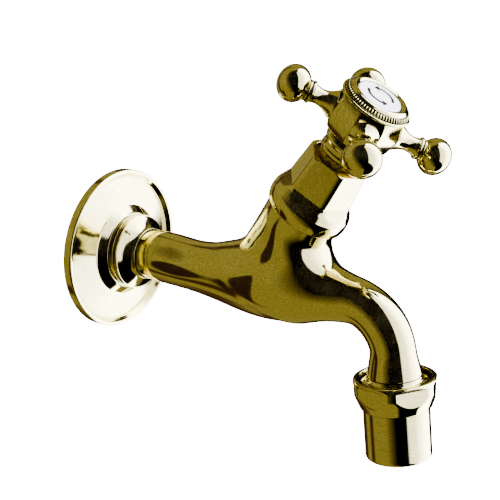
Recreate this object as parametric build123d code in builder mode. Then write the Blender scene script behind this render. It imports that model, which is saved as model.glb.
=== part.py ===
"""A wall-mounted kitchen tap with a cross handle, taken apart as it would be on a bench.

All sizes are in millimetres. The wall is the plane x = 0, the tap reaches out along +X, Z is up
and the plane y = 0 divides the tap into equal halves. The origin lies on the inlet's axis.
Heights of valve pieces are measured along the leaning valve axis, up from its foot on z = 0.
Depths of nozzle pieces are measured down the nozzle axis, from its head on z = 0.
"""

from build123d import *
from math import asin, cos, degrees, pi, radians, sin, sqrt, tan
import os

os.makedirs("parts", exist_ok=True)

# Clearances, all on one side
thread_gap = 0.05
running_gap = 0.06
seating_gap = 0.05
slip_gap = 0.2

# Places and leans of the two slanted axes
valve_x = 71.8
valve_lean = 33.3
nozzle_x = 126.5
nozzle_lean = 5.6

# Wall end
inlet_thread_radius = 10.48
inlet_thread_length = 12.0
inlet_thread_run_out = 0.6
inlet_bore_radius = 6.0
flange_radius = 32.5
flange_wall = 1.2
flange_rim_height = 3.7
flange_edge_rounding = 0.8
flange_rim_width = 1.3
flange_rim_slope = 0.8
flange_recess = 1.3
flange_face_rise = 2.6
boss_radius = 15.1
boss_fillet = 2.2
boss_low_height = 2.5
boss_groove = 0.5
boss_high_height = 4.7
boss_rim_height = 7.0
boss_mouth_height = 12.2
boss_mouth_gap = 0.4
seal_thickness = 1.7
seal_groove_width = 2.2
seal_lip = 0.6

# Casting
neck_radius = 9.7
swell_radius = 10.2
swell_reach = 8.7
waist_radius = 10.1
waist_reach = 14.0
waist_drop = 0.95
belly_radius = 14.4
belly_drop = 0.9
shoulder_radius = 11.5
shoulder_reach = 26.0
spout_radius = 8.5
spout_foot_radius = 10.0
spout_drop = 0.6
spout_slope = 4.5
spout_bend_radius = 19.5
spout_bore_radius = 5.6
column_radius = 13.85
column_height = 35.2

# Valve seat and jumper
seat_floor = 7.0
seat_rim_height = 1.5
seat_rim_wall = 1.8
seat_bore_radius = 6.4
outlet_hole_radius = 5.4
outlet_hole_height = 16.0
washer_radius = 9.2
washer_thickness = 3.0
jumper_radius = 9.5
jumper_thickness = 2.0
jumper_stem_radius = 3.4
jumper_stem_length = 9.0
stud_radius = 2.0
stud_end = 0.6
washer_nut_flats = 7.0
washer_nut_thickness = 2.4

# Headwork: the bonnet that screws into the column, with the spindle and its packing
bonnet_thread_radius = 10.48
bonnet_thread_length = 14.0
bonnet_washer_thickness = 1.0
bonnet_flange_radius = 13.4
bonnet_flange_thickness = 2.6
bonnet_hex_flats = 18.0
bonnet_hex_height = 4.6
bonnet_neck_radius = 8.2
bonnet_neck_height = 18.0
spindle_barrel_radius = 6.2
spindle_barrel_length = 6.4
spindle_thread_radius = 7.0
spindle_thread_length = 17.0
spindle_radius = 4.6
spindle_square = 7.0
spindle_square_length = 8.0
lift = 6.0
lift_reserve = 1.2
guide_length = 4.5
packing_radius = 7.25
packing_height = 4.0
gland_neck_radius = 8.7
gland_bead_radius = 9.4
gland_head_height = 7.6

# Shroud: the six-sided cover between the casting and the handle
shroud_lap = 1.0
shroud_height = 24.9
shroud_bead_radius = 15.65
shroud_bead_height = 7.2
shroud_flare_height = 3.6
shroud_base_corner = 13.4
shroud_top_corner = 12.0
shroud_base_turning = 13.0
shroud_top_turning = 11.7
shroud_turn = 9.6
shroud_wall = 1.1
shroud_recess_radius = 9.6
shroud_recess_depth = 2.4
shroud_floor = 1.2
shroud_nut_radius = 9.3
shroud_nut_height = 1.8
shroud_nut_slot = 1.8
shroud_nut_slot_depth = 0.6

# Handle
handle_turn = 31.9
handle_clearance = 0.8
hub_flats = 24.8
hub_end_flats = 22.0
hub_height = 14.2
hub_chamfer = 0.7
spigot_radius = 9.5
spigot_height = 1.8
arm_count = 4
arm_height = 6.95
arm_stud_radius = 2.4
arm_stud_length = 3.8
arm_base_radius = 5.2
arm_seat_depth = 0.8
arm_waist_radius = 2.95
arm_ring_radius = 4.2
arm_collar_radius = 3.9
arm_reach = 27.9
ball_radius = 6.75
ball_half_length = 5.9
screw_radius = 2.0
screw_length = 8.5
screw_head_radius = 4.6
screw_head_height = 2.4
screw_slot_width = 1.2
screw_slot_depth = 1.1
hub_web = 2.0

# Index ring and disc
ring_radius = 13.2
ring_bead_height = 1.1
knurl_foot_radius = 12.8
knurl_top_radius = 11.7
knurl_height = 1.5
knurl_count = 90
knurl_depth = 0.25
ring_ledge = 0.7
ring_ledge_width = 1.0
bezel_height = 0.4
disc_radius = 8.42
disc_thickness = 0.9
disc_crown = 0.2

# Nozzle group
collar_radius = 13.2
collar_top = 28.9
collar_height = 2.9
nut_lift = 1.7
nut_height = 11.3
nut_radius = 15.65
nut_flats = 28.6
nut_rim_height = 0.9
nut_cone_height = 6.3
nut_foot_radius = 13.0
nut_turn = 8.2
nozzle_washer_thickness = 1.2
nozzle_washer_radius = 12.9
nozzle_flange_thickness = 1.5
nozzle_radius = 12.2
nozzle_neck_relief = 0.2
nozzle_length = 24.9
nozzle_wall = 1.5
nozzle_rounding = 1.7
lip_wall = 1.1
lip_radius = 9.4
screen_thickness = 0.4
screen_pitch = 1.7
screen_hole = 1.15
straightener_height = 9.0
straightener_hole = 1.0
straightener_pitch = 2.9
straightener_rings = 3
straightener_seal_height = 1.5
straightener_seal_width = 2.0

# Directions and planes that follow from the leans
lean = radians(valve_lean)
valve_up = Vector(sin(lean), 0, cos(lean))
valve_forward = Vector(cos(lean), 0, -sin(lean))
valve_foot = Vector(valve_x, 0, 0)
valve_axis = Axis(valve_foot, valve_up)
valve_section = Plane(origin=valve_foot, x_dir=valve_forward, z_dir=(0, -1, 0))
tip = radians(nozzle_lean)
nozzle_down = Vector(sin(tip), 0, -cos(tip))
nozzle_forward = Vector(cos(tip), 0, sin(tip))
nozzle_head = Vector(nozzle_x, 0, 0)
nozzle_axis = Axis(nozzle_head, nozzle_down)
nozzle_section = Plane(origin=nozzle_head, x_dir=nozzle_forward, z_dir=(0, 1, 0))


def across_valve(height):
    """The plane square to the valve axis at a height."""
    return Plane(origin=valve_foot + valve_up * height, x_dir=valve_forward, z_dir=valve_up)


def across_nozzle(depth):
    """The plane square to the nozzle axis at a depth."""
    return Plane(origin=nozzle_head + nozzle_down * depth, x_dir=nozzle_forward, z_dir=nozzle_down)


def outline(section, *corners):
    """The face inside a closed outline of straight lines on a section plane."""
    with BuildSketch(section) as face:
        with BuildLine():
            Polyline(*corners, close=True)
        make_face()
    return face.sketch


def ring(section, inner, outer, low, high):
    """The section of a plain ring or, where inner is nought, of a disc."""
    return outline(section, (inner, low), (outer, low), (outer, high), (inner, high))


def save(piece, name):
    """Label a finished piece and write it."""
    piece.part.label = name
    export_step(piece.part, f"parts/{name}.step")


# Wall flange: a spun dish with a raised rim, and a grooved boss that closes on the neck in a cone
face_edge = flange_rim_height - flange_recess
boss_foot = face_edge + flange_face_rise
boss_low_ridge = boss_foot + boss_low_height
boss_high_ridge = boss_foot + boss_high_height
boss_rim = boss_foot + boss_rim_height
boss_mouth = boss_foot + boss_mouth_height
boss_mouth_radius = neck_radius + boss_mouth_gap
rim_inner = flange_radius - flange_edge_rounding - flange_rim_width
face_radius = rim_inner - flange_rim_slope
seal_groove_end = boss_rim - seal_lip
seal_groove_start = seal_groove_end - seal_groove_width
seal_x = (seal_groove_start + seal_groove_end) / 2
edge_turn = flange_edge_rounding * (1 - sin(pi / 4))

with BuildPart() as wall_flange:
    with BuildSketch(Plane.XZ):
        with BuildLine():
            Line((0, flange_radius - flange_wall), (0, flange_radius))
            Line((0, flange_radius), (flange_rim_height - flange_edge_rounding, flange_radius))
            ThreePointArc(
                (flange_rim_height - flange_edge_rounding, flange_radius),
                (flange_rim_height - edge_turn, flange_radius - edge_turn),
                (flange_rim_height, flange_radius - flange_edge_rounding),
            )
            Line((flange_rim_height, flange_radius - flange_edge_rounding), (flange_rim_height, rim_inner))
            Line((flange_rim_height, rim_inner), (face_edge, face_radius))
            Line((face_edge, face_radius), (boss_foot, boss_radius + boss_fillet))
            ThreePointArc(
                (boss_foot, boss_radius + boss_fillet), (boss_foot + 0.5, boss_radius + 1.1),
                (boss_low_ridge - 0.6, boss_radius + 0.5),
            )
            Polyline(
                (boss_low_ridge - 0.6, boss_radius + 0.5), (boss_low_ridge, boss_radius + 0.4),
                (boss_low_ridge + 0.3, boss_radius - boss_groove),
                (boss_high_ridge - 0.4, boss_radius - boss_groove),
                (boss_high_ridge - 0.2, boss_radius + 0.05), (boss_high_ridge + 0.2, boss_radius + 0.05),
                (boss_high_ridge + 0.4, boss_radius - boss_groove / 2),
                (boss_high_ridge + 0.8, boss_radius - boss_groove / 2),
                (boss_high_ridge + 1.0, boss_radius), (boss_rim - 0.3, boss_radius),
                (boss_rim, boss_radius - 0.3),
            )
            Spline(
                (boss_rim, boss_radius - 0.3), (boss_rim + 1.8, boss_radius - 2.6),
                (boss_mouth - 1.4, boss_mouth_radius + 0.55), (boss_mouth, boss_mouth_radius + 0.15),
            )
            Polyline(
                (boss_mouth, boss_mouth_radius + 0.15), (boss_mouth, boss_mouth_radius),
                (seal_groove_end, boss_mouth_radius), (seal_groove_end, neck_radius + seal_thickness),
                (seal_groove_start, neck_radius + seal_thickness), (seal_groove_start, boss_mouth_radius),
                (seal_groove_start - seal_lip, boss_mouth_radius),
                (boss_low_ridge, boss_radius - boss_groove - flange_wall), (boss_foot, boss_radius),
                (boss_foot - flange_wall, boss_radius + boss_fillet), (face_edge - flange_wall, face_radius),
                (face_edge, rim_inner), (0, flange_radius - flange_wall),
            )
        make_face()
    revolve(axis=Axis.X)
save(wall_flange, "wall_flange")

# Rubber ring that grips the neck inside the flange's mouth
with BuildPart() as flange_o_ring:
    with BuildSketch(Plane.XZ):
        with Locations((seal_x, neck_radius + seal_thickness / 2)):
            Circle(seal_thickness / 2 - 0.01)
    revolve(axis=Axis.X)
save(flange_o_ring, "flange_o_ring")

# Casting: the run of the water, from the wall to the spout's collar
neck_end = boss_mouth - 1.0
swell_x = boss_mouth + swell_reach
waist_x = swell_x + waist_reach
flank_x = (waist_x + valve_x) / 2 + 3.0
belly_x = valve_x + 3.2
shoulder_x = valve_x + shoulder_reach
slope = radians(spout_slope)
spout_forward = Vector(cos(slope), 0, -sin(slope))
shoulder = Vector(shoulder_x, 0, -spout_drop)
bend_turn = radians(90 - nozzle_lean - spout_slope)
bend_corner_x = (nozzle_x + tan(tip) * (spout_drop - tan(slope) * shoulder_x)) / (1 - tan(tip) * tan(slope))
bend_corner = Vector(bend_corner_x, 0, -spout_drop - tan(slope) * (bend_corner_x - shoulder_x))
bend_start = bend_corner - spout_forward * (spout_bend_radius * tan(bend_turn / 2))
bend_end = bend_corner + nozzle_down * (spout_bend_radius * tan(bend_turn / 2))
bend_centre = bend_start - Vector(sin(slope), 0, cos(slope)) * spout_bend_radius
bend_middle_turn = slope + bend_turn / 2
bend_middle = bend_centre + Vector(sin(bend_middle_turn), 0, cos(bend_middle_turn)) * spout_bend_radius
bend_steps = 5
spout_flare = [(20.5, 0.15), (23.5, 0.7)]
collar_foot = collar_top + collar_height
nut_top = collar_top - nut_lift
spout_end = nozzle_head + nozzle_down * (collar_foot + 1)

run_stations = [
    (neck_end, 0, neck_radius),
    (swell_x, -0.1, swell_radius),
    (waist_x, -waist_drop, waist_radius),
    (flank_x, -waist_drop - 0.1, (waist_radius + belly_radius) / 2),
    (belly_x, -belly_drop, belly_radius),
    (belly_x + 12, -belly_drop + 0.3, belly_radius - 0.7),
    (shoulder_x, -spout_drop, shoulder_radius),
]

# The column spreads into the belly behind and over the spout's shoulder in front:
# height, reach to the rear, reach to the front and half width of each section
column_sections = [
    (-0.114 * column_height, column_radius * 1.38, column_radius * 1.455, column_radius * 0.84),
    (0.043 * column_height, column_radius * 1.195, column_radius * 1.67, column_radius * 0.92),
    (0.17 * column_height, column_radius * 1.05, column_radius * 1.787, column_radius * 0.97),
    (0.37 * column_height, column_radius * 1.007, column_radius * 1.8, column_radius * 0.993),
    (0.568 * column_height, column_radius, column_radius * 1.643, column_radius),
    (0.696 * column_height, column_radius, column_radius * 1.31, column_radius),
    (0.795 * column_height, column_radius, column_radius * 1.065, column_radius),
    (0.895 * column_height, column_radius, column_radius, column_radius),
    (column_height, column_radius, column_radius, column_radius),
]

with BuildPart() as tap_body:
    for station_x, station_z, radius in run_stations:
        with BuildSketch(Plane(origin=(station_x, 0, station_z), x_dir=(0, 1, 0), z_dir=(1, 0, 0))):
            Circle(radius)
    with BuildSketch(Plane(origin=bend_start - spout_forward * 5, x_dir=(0, 1, 0), z_dir=spout_forward)):
        Circle(spout_radius + 1.0)
    for step in range(bend_steps):
        turned = slope + bend_turn * step / (bend_steps - 1)
        along = Vector(cos(turned), 0, -sin(turned))
        outward = Vector(sin(turned), 0, cos(turned))
        bend_point = bend_centre + outward * spout_bend_radius
        with BuildSketch(Plane(origin=bend_point, x_dir=(0, 1, 0), z_dir=along)):
            Circle(spout_radius)
    for depth, widening in spout_flare:
        with BuildSketch(Plane(origin=nozzle_head + nozzle_down * depth, x_dir=(0, 1, 0), z_dir=nozzle_down)):
            Circle(spout_radius + widening)
    with BuildSketch(Plane(origin=nozzle_head + nozzle_down * nut_top, x_dir=(0, 1, 0), z_dir=nozzle_down)):
        Circle(spout_foot_radius)
    loft()
    # Neck, and the threaded tail that goes into the wall
    revolve(outline(
        Plane.XZ,
        (-inlet_thread_length, 0), (-inlet_thread_length, inlet_thread_radius - 0.8),
        (-inlet_thread_length + 0.8, inlet_thread_radius), (inlet_thread_run_out, inlet_thread_radius),
        (inlet_thread_run_out + 0.8, neck_radius), (neck_end, neck_radius), (neck_end, 0),
    ), axis=Axis.X)
    # Collar that carries the union nut's thread
    revolve(outline(
        nozzle_section,
        (0, nut_top), (spout_foot_radius, nut_top), (spout_foot_radius + 1.0, collar_top - 0.3),
        (collar_radius - 0.6, collar_top), (collar_radius, collar_top + 0.6), (collar_radius, collar_foot),
        (0, collar_foot),
    ), axis=nozzle_axis)
    # Column for the valve
    for height, rear, front, side in column_sections:
        with BuildSketch(across_valve(height)):
            with Locations(((front - rear) / 2, 0)):
                Ellipse((front + rear) / 2, side)
    loft()
    # Inlet waterway, up through the seat
    with BuildSketch(Plane.YZ.offset(-inlet_thread_length)):
        Circle(inlet_bore_radius)
    extrude(amount=inlet_thread_length + valve_x, mode=Mode.SUBTRACT)
    with Locations(valve_foot):
        Sphere(inlet_bore_radius, mode=Mode.SUBTRACT)
    with BuildSketch(across_valve(0)):
        Circle(seat_bore_radius)
    extrude(amount=seat_floor + seat_rim_height, mode=Mode.SUBTRACT)
    # Chamber round the raised seat, bored for the bonnet's thread
    revolve(outline(
        valve_section,
        (0, seat_floor + seat_rim_height), (seat_bore_radius + seat_rim_wall, seat_floor + seat_rim_height),
        (seat_bore_radius + seat_rim_wall, seat_floor), (bonnet_thread_radius + thread_gap, seat_floor),
        (bonnet_thread_radius + thread_gap, column_height + 1), (0, column_height + 1),
    ), axis=valve_axis, mode=Mode.SUBTRACT)
    # Outlet waterway, from the chamber's side down the spout
    outlet_start = valve_foot + valve_up * outlet_hole_height
    with BuildSketch(Plane(origin=outlet_start, x_dir=(0, 1, 0), z_dir=shoulder - outlet_start)):
        Circle(outlet_hole_radius)
    extrude(amount=(shoulder - outlet_start).length, mode=Mode.SUBTRACT)
    with Locations(shoulder):
        Sphere(spout_bore_radius, mode=Mode.SUBTRACT)
    with BuildLine() as spout_route:
        Line(shoulder, bend_start)
        ThreePointArc(bend_start, bend_middle, bend_end)
        Line(bend_end, spout_end)
    with BuildSketch(Plane(origin=shoulder, x_dir=(0, 1, 0), z_dir=spout_forward)):
        Circle(spout_bore_radius)
    sweep(path=spout_route.line, mode=Mode.SUBTRACT)
save(tap_body, "tap_body")

# Headwork
bonnet_seat = column_height + bonnet_washer_thickness
bonnet_thread_end = column_height - bonnet_thread_length
bonnet_hex_foot = bonnet_seat + bonnet_flange_thickness
bonnet_neck_foot = bonnet_hex_foot + bonnet_hex_height
bonnet_top = bonnet_neck_foot + bonnet_neck_height
washer_foot = seat_floor + seat_rim_height + seating_gap
jumper_foot = washer_foot + washer_thickness
jumper_top = jumper_foot + jumper_thickness
spindle_foot = jumper_top + seating_gap
spindle_thread_foot = spindle_foot + spindle_barrel_length
spindle_shoulder = spindle_thread_foot + spindle_thread_length
guide_foot = spindle_shoulder + lift + lift_reserve
packing_foot = guide_foot + guide_length
gland_foot = packing_foot + packing_height
gland_head_foot = bonnet_top + slip_gap
gland_top = gland_head_foot + gland_head_height
hub_bottom = gland_top + handle_clearance
spindle_top = hub_bottom + spindle_square_length
web_foot = spindle_top + seating_gap * 6
web_top = web_foot + hub_web
screw_tip = web_top - screw_length

with BuildPart() as valve_bonnet:
    revolve(outline(
        valve_section,
        (0, bonnet_thread_end), (bonnet_thread_radius - 0.8, bonnet_thread_end),
        (bonnet_thread_radius, bonnet_thread_end + 0.8), (bonnet_thread_radius, bonnet_seat),
        (bonnet_flange_radius, bonnet_seat), (bonnet_flange_radius, bonnet_hex_foot - 0.4),
        (bonnet_flange_radius - 0.4, bonnet_hex_foot), (bonnet_neck_radius, bonnet_hex_foot),
        (bonnet_neck_radius, bonnet_top - 0.4), (bonnet_neck_radius - 0.4, bonnet_top), (0, bonnet_top),
    ), axis=valve_axis)
    with BuildSketch(across_valve(bonnet_hex_foot)):
        RegularPolygon(bonnet_hex_flats / 2, 6, major_radius=False)
    extrude(amount=bonnet_hex_height)
    revolve(outline(
        valve_section,
        (0, bonnet_thread_end - 1), (spindle_thread_radius + thread_gap, bonnet_thread_end - 1),
        (spindle_thread_radius + thread_gap, guide_foot), (spindle_radius + running_gap, guide_foot),
        (spindle_radius + running_gap, packing_foot), (packing_radius + thread_gap, packing_foot),
        (packing_radius + thread_gap, bonnet_top + 1), (0, bonnet_top + 1),
    ), axis=valve_axis, mode=Mode.SUBTRACT)
save(valve_bonnet, "valve_bonnet")

with BuildPart() as bonnet_washer:
    revolve(ring(
        valve_section, bonnet_thread_radius + slip_gap, bonnet_flange_radius, column_height, bonnet_seat
    ), axis=valve_axis)
save(bonnet_washer, "bonnet_washer")

with BuildPart() as gland_packing:
    revolve(ring(
        valve_section, spindle_radius + running_gap, packing_radius, packing_foot, gland_foot
    ), axis=valve_axis)
save(gland_packing, "gland_packing")

with BuildPart() as gland_nut:
    with BuildSketch(valve_section):
        with BuildLine():
            Polyline(
                (spindle_radius + running_gap, gland_top - 0.5), (spindle_radius + running_gap, gland_foot),
                (packing_radius, gland_foot), (packing_radius, gland_head_foot),
                (gland_neck_radius, gland_head_foot), (gland_neck_radius + 0.3, gland_head_foot + 0.4),
                (gland_neck_radius + 0.3, gland_head_foot + 1.6), (gland_neck_radius, gland_head_foot + 2.0),
                (gland_neck_radius, gland_top - 4.0),
            )
            ThreePointArc(
                (gland_neck_radius, gland_top - 4.0), (gland_bead_radius, gland_top - 2.2),
                (gland_neck_radius, gland_top - 0.5),
            )
            Polyline(
                (gland_neck_radius, gland_top - 0.5), (gland_neck_radius - 0.6, gland_top),
                (spindle_radius + running_gap + 0.5, gland_top),
                (spindle_radius + running_gap, gland_top - 0.5),
            )
        make_face()
    revolve(axis=valve_axis)
save(gland_nut, "gland_nut")

# Jumper, which lifts the washer off its seat
with BuildPart() as jumper:
    revolve(outline(
        valve_section,
        (0, washer_foot - washer_nut_thickness - stud_end),
        (stud_radius, washer_foot - washer_nut_thickness - stud_end), (stud_radius, jumper_foot),
        (jumper_radius, jumper_foot), (jumper_radius, jumper_top - 0.5), (jumper_radius - 0.5, jumper_top),
        (jumper_stem_radius, jumper_top), (jumper_stem_radius, jumper_top + jumper_stem_length - 0.5),
        (jumper_stem_radius - 0.5, jumper_top + jumper_stem_length), (0, jumper_top + jumper_stem_length),
    ), axis=valve_axis)
save(jumper, "jumper")

with BuildPart() as valve_washer:
    revolve(outline(
        valve_section,
        (stud_radius + thread_gap, washer_foot), (washer_radius - 0.4, washer_foot),
        (washer_radius, washer_foot + 0.4), (washer_radius, jumper_foot),
        (stud_radius + thread_gap, jumper_foot),
    ), axis=valve_axis)
save(valve_washer, "valve_washer")

with BuildPart() as washer_nut:
    with BuildSketch(across_valve(washer_foot - washer_nut_thickness)):
        RegularPolygon(washer_nut_flats / 2, 6, major_radius=False)
        Circle(stud_radius + thread_gap, mode=Mode.SUBTRACT)
    extrude(amount=washer_nut_thickness)
save(washer_nut, "washer_nut")

# Spindle: hollow below for the jumper's stem, squared above for the handle
with BuildPart() as spindle:
    revolve(outline(
        valve_section,
        (0, spindle_foot), (spindle_barrel_radius - 0.5, spindle_foot),
        (spindle_barrel_radius, spindle_foot + 0.5), (spindle_barrel_radius, spindle_thread_foot),
        (spindle_thread_radius - 0.6, spindle_thread_foot),
        (spindle_thread_radius, spindle_thread_foot + 0.6),
        (spindle_thread_radius, spindle_shoulder - 0.6), (spindle_thread_radius - 0.6, spindle_shoulder),
        (spindle_radius, spindle_shoulder), (spindle_radius, hub_bottom), (0, hub_bottom),
    ), axis=valve_axis)
    with BuildSketch(across_valve(hub_bottom)):
        Circle(spindle_radius)
        Rectangle(spindle_square, spindle_square, rotation=handle_turn, mode=Mode.INTERSECT)
    extrude(amount=spindle_square_length)
    with BuildSketch(across_valve(spindle_foot)):
        Circle(jumper_stem_radius + running_gap)
    extrude(amount=jumper_stem_length + 1.0, mode=Mode.SUBTRACT)
    with BuildSketch(across_valve(spindle_top)):
        Circle(screw_radius + thread_gap)
    extrude(amount=screw_tip - 1.0 - spindle_top, mode=Mode.SUBTRACT)
save(spindle, "spindle")

# Shroud: a turned bell whose upper part is milled to six flats that run out into the bead
shroud_foot = column_height - shroud_lap
shroud_top = shroud_foot + shroud_height
shroud_bead_top = shroud_foot + shroud_bead_height
flats_foot = shroud_bead_top + shroud_flare_height
flare_foot = shroud_foot + shroud_bead_height - 1.0
shroud_recess_floor = shroud_top - shroud_recess_depth
shroud_bore = column_radius + 0.3
bead_corner = (shroud_bead_radius + 0.3) / cos(pi / 6)

with BuildPart() as bonnet_shroud:
    with BuildSketch(valve_section):
        with BuildLine():
            Line((0, shroud_foot), (shroud_bead_radius - 0.6, shroud_foot))
            ThreePointArc(
                (shroud_bead_radius - 0.6, shroud_foot), (shroud_bead_radius, shroud_foot + 2.6),
                (shroud_bead_radius - 0.75, shroud_bead_top - 0.9),
            )
            Spline(
                (shroud_bead_radius - 0.75, shroud_bead_top - 0.9),
                (shroud_base_turning + 1.2, shroud_bead_top + 0.8),
                (shroud_base_turning + 0.2, flats_foot - 1.0), (shroud_base_turning, flats_foot),
            )
            Polyline(
                (shroud_base_turning, flats_foot), (shroud_top_turning, shroud_top - 0.5),
                (shroud_top_turning - 0.5, shroud_top), (0, shroud_top), (0, shroud_foot),
            )
        make_face()
    revolve(axis=valve_axis)
    for height, corner in (
        (shroud_foot, bead_corner), (flare_foot, bead_corner),
        (flats_foot, shroud_base_corner), (shroud_top, shroud_top_corner),
    ):
        with BuildSketch(across_valve(height)):
            RegularPolygon(corner, 6, rotation=shroud_turn)
    loft(ruled=True, mode=Mode.INTERSECT)
    # Hollow inside, open below over the column and above over the nut
    revolve(outline(
        valve_section,
        (0, shroud_foot), (shroud_bore, shroud_foot), (shroud_bore, flare_foot),
        (shroud_base_corner * cos(pi / 6) - shroud_wall, flats_foot),
        (shroud_top_corner * cos(pi / 6) - shroud_wall, shroud_recess_floor - shroud_floor),
        (bonnet_neck_radius + slip_gap, shroud_recess_floor - shroud_floor),
        (bonnet_neck_radius + slip_gap, shroud_recess_floor), (shroud_recess_radius, shroud_recess_floor),
        (shroud_recess_radius, shroud_top), (0, shroud_top),
    ), axis=valve_axis, mode=Mode.SUBTRACT)
save(bonnet_shroud, "bonnet_shroud")

# Thin ring nut that clamps the shroud, turned with a pin spanner in its four slots
with BuildPart() as shroud_nut:
    revolve(ring(
        valve_section, bonnet_neck_radius + thread_gap, shroud_nut_radius,
        shroud_recess_floor, shroud_recess_floor + shroud_nut_height
    ), axis=valve_axis)
    with BuildSketch(across_valve(shroud_recess_floor + shroud_nut_height / 2)):
        with PolarLocations(shroud_nut_radius, 4):
            Rectangle(2 * shroud_nut_slot_depth, shroud_nut_slot)
    extrude(amount=shroud_nut_height, mode=Mode.SUBTRACT)
save(shroud_nut, "shroud_nut")

# Handle hub: an eight-sided block whose faces swell in the middle like a barrel
hub_top = hub_bottom + hub_height
spigot_top = hub_top + spigot_height
arm_plane = hub_bottom + arm_height
hub_half = hub_flats / 2
arm_seat = hub_half - arm_seat_depth
arm_directions = [
    valve_forward * cos(turn) + Vector(0, 1, 0) * sin(turn)
    for turn in [radians(handle_turn + 360 * arm / arm_count) for arm in range(arm_count)]
]
arm_centre = valve_foot + valve_up * arm_plane

with BuildPart() as handle_hub:
    for share, flats in (
        (0, hub_end_flats), (0.2, 0.4 * hub_end_flats + 0.6 * hub_flats), (0.5, hub_flats),
        (0.8, 0.4 * hub_end_flats + 0.6 * hub_flats), (1, hub_end_flats),
    ):
        with BuildSketch(across_valve(hub_bottom + share * hub_height)):
            RegularPolygon(flats / 2, 8, major_radius=False, rotation=handle_turn + 22.5)
    loft()
    revolve(outline(
        valve_section,
        (0, hub_bottom), (hub_end_flats / 2 - hub_chamfer, hub_bottom),
        (hub_flats / 2 + 2 * hub_chamfer, hub_bottom + 2 * hub_chamfer),
        (hub_flats / 2 + 2 * hub_chamfer, hub_top),
        (0, hub_top),
    ), axis=valve_axis, mode=Mode.INTERSECT)
    with BuildSketch(across_valve(hub_top)):
        Circle(spigot_radius)
    extrude(amount=spigot_height)
    # Square socket for the spindle, hole and seat for the screw, and a seat and tapped hole for each arm
    with BuildSketch(across_valve(hub_bottom)):
        Rectangle(
            spindle_square + 2 * running_gap, spindle_square + 2 * running_gap, rotation=handle_turn
        )
    extrude(amount=web_foot - hub_bottom, mode=Mode.SUBTRACT)
    with BuildSketch(across_valve(web_foot)):
        Circle(screw_radius + slip_gap)
    extrude(amount=hub_web, mode=Mode.SUBTRACT)
    with BuildSketch(across_valve(web_top)):
        Circle(screw_head_radius + slip_gap)
    extrude(amount=spigot_top - web_top, mode=Mode.SUBTRACT)
    for direction in arm_directions:
        with BuildSketch(Plane(origin=arm_centre + direction * arm_seat, x_dir=valve_up, z_dir=direction)):
            Circle(arm_base_radius + seating_gap)
        extrude(amount=2 * arm_seat_depth, mode=Mode.SUBTRACT)
        with BuildSketch(Plane(origin=arm_centre + direction * arm_seat, x_dir=valve_up, z_dir=direction)):
            Circle(arm_stud_radius + thread_gap)
        extrude(amount=-arm_stud_length - slip_gap, mode=Mode.SUBTRACT)
save(handle_hub, "handle_hub")

# Arms: turned trumpets with a double ring and a flattened ball, screwed into the hub
ball_foot = arm_reach - ball_half_length * sqrt(1 - (arm_collar_radius / ball_radius) ** 2)
ball_foot_angle = 180 - degrees(asin(arm_collar_radius / ball_radius))
for arm, direction in enumerate(arm_directions):
    with BuildPart() as handle_arm:
        with BuildSketch(Plane(origin=arm_centre, x_dir=direction, z_dir=direction.cross(valve_up))):
            with BuildLine():
                Polyline(
                    (arm_seat - arm_stud_length, 0), (arm_seat - arm_stud_length, arm_stud_radius),
                    (arm_seat, arm_stud_radius), (arm_seat, arm_base_radius),
                    (hub_half + 0.2, arm_base_radius),
                )
                Spline(
                    (hub_half + 0.2, arm_base_radius), (hub_half + 1.9, arm_waist_radius + 1.1),
                    (hub_half + 5.2, arm_waist_radius), (ball_foot - 2.4, arm_waist_radius + 0.55),
                )
                Line((ball_foot - 2.4, arm_waist_radius + 0.55), (ball_foot - 2.1, arm_ring_radius - 0.4))
                ThreePointArc(
                    (ball_foot - 2.1, arm_ring_radius - 0.4), (ball_foot - 1.5, arm_ring_radius),
                    (ball_foot - 0.9, arm_ring_radius - 0.4),
                )
                Polyline(
                    (ball_foot - 0.9, arm_ring_radius - 0.4), (ball_foot - 0.8, arm_collar_radius - 0.5),
                    (ball_foot - 0.5, arm_collar_radius - 0.5), (ball_foot - 0.4, arm_collar_radius),
                    (ball_foot, arm_collar_radius),
                )
                EllipticalCenterArc(
                    (arm_reach, 0), ball_half_length, ball_radius, 0, arc_size=ball_foot_angle
                )
                Line((arm_reach + ball_half_length, 0), (arm_seat - arm_stud_length, 0))
            make_face()
        revolve(axis=Axis(arm_centre, direction))
    save(handle_arm, f"handle_arm_{arm + 1}")

# Screw that holds the handle down on the spindle
with BuildPart() as handle_screw:
    revolve(outline(
        valve_section,
        (0, screw_tip), (screw_radius - 0.4, screw_tip),
        (screw_radius, screw_tip + 0.4), (screw_radius, web_top),
        (screw_head_radius, web_top), (screw_head_radius, web_top + screw_head_height - 0.7),
        (screw_head_radius - 1.2, web_top + screw_head_height), (0, web_top + screw_head_height),
    ), axis=valve_axis)
    with BuildSketch(across_valve(web_top + screw_head_height)):
        Rectangle(2 * screw_head_radius + 1, screw_slot_width, rotation=handle_turn)
    extrude(amount=-screw_slot_depth, mode=Mode.SUBTRACT)
save(handle_screw, "handle_screw")

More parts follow.
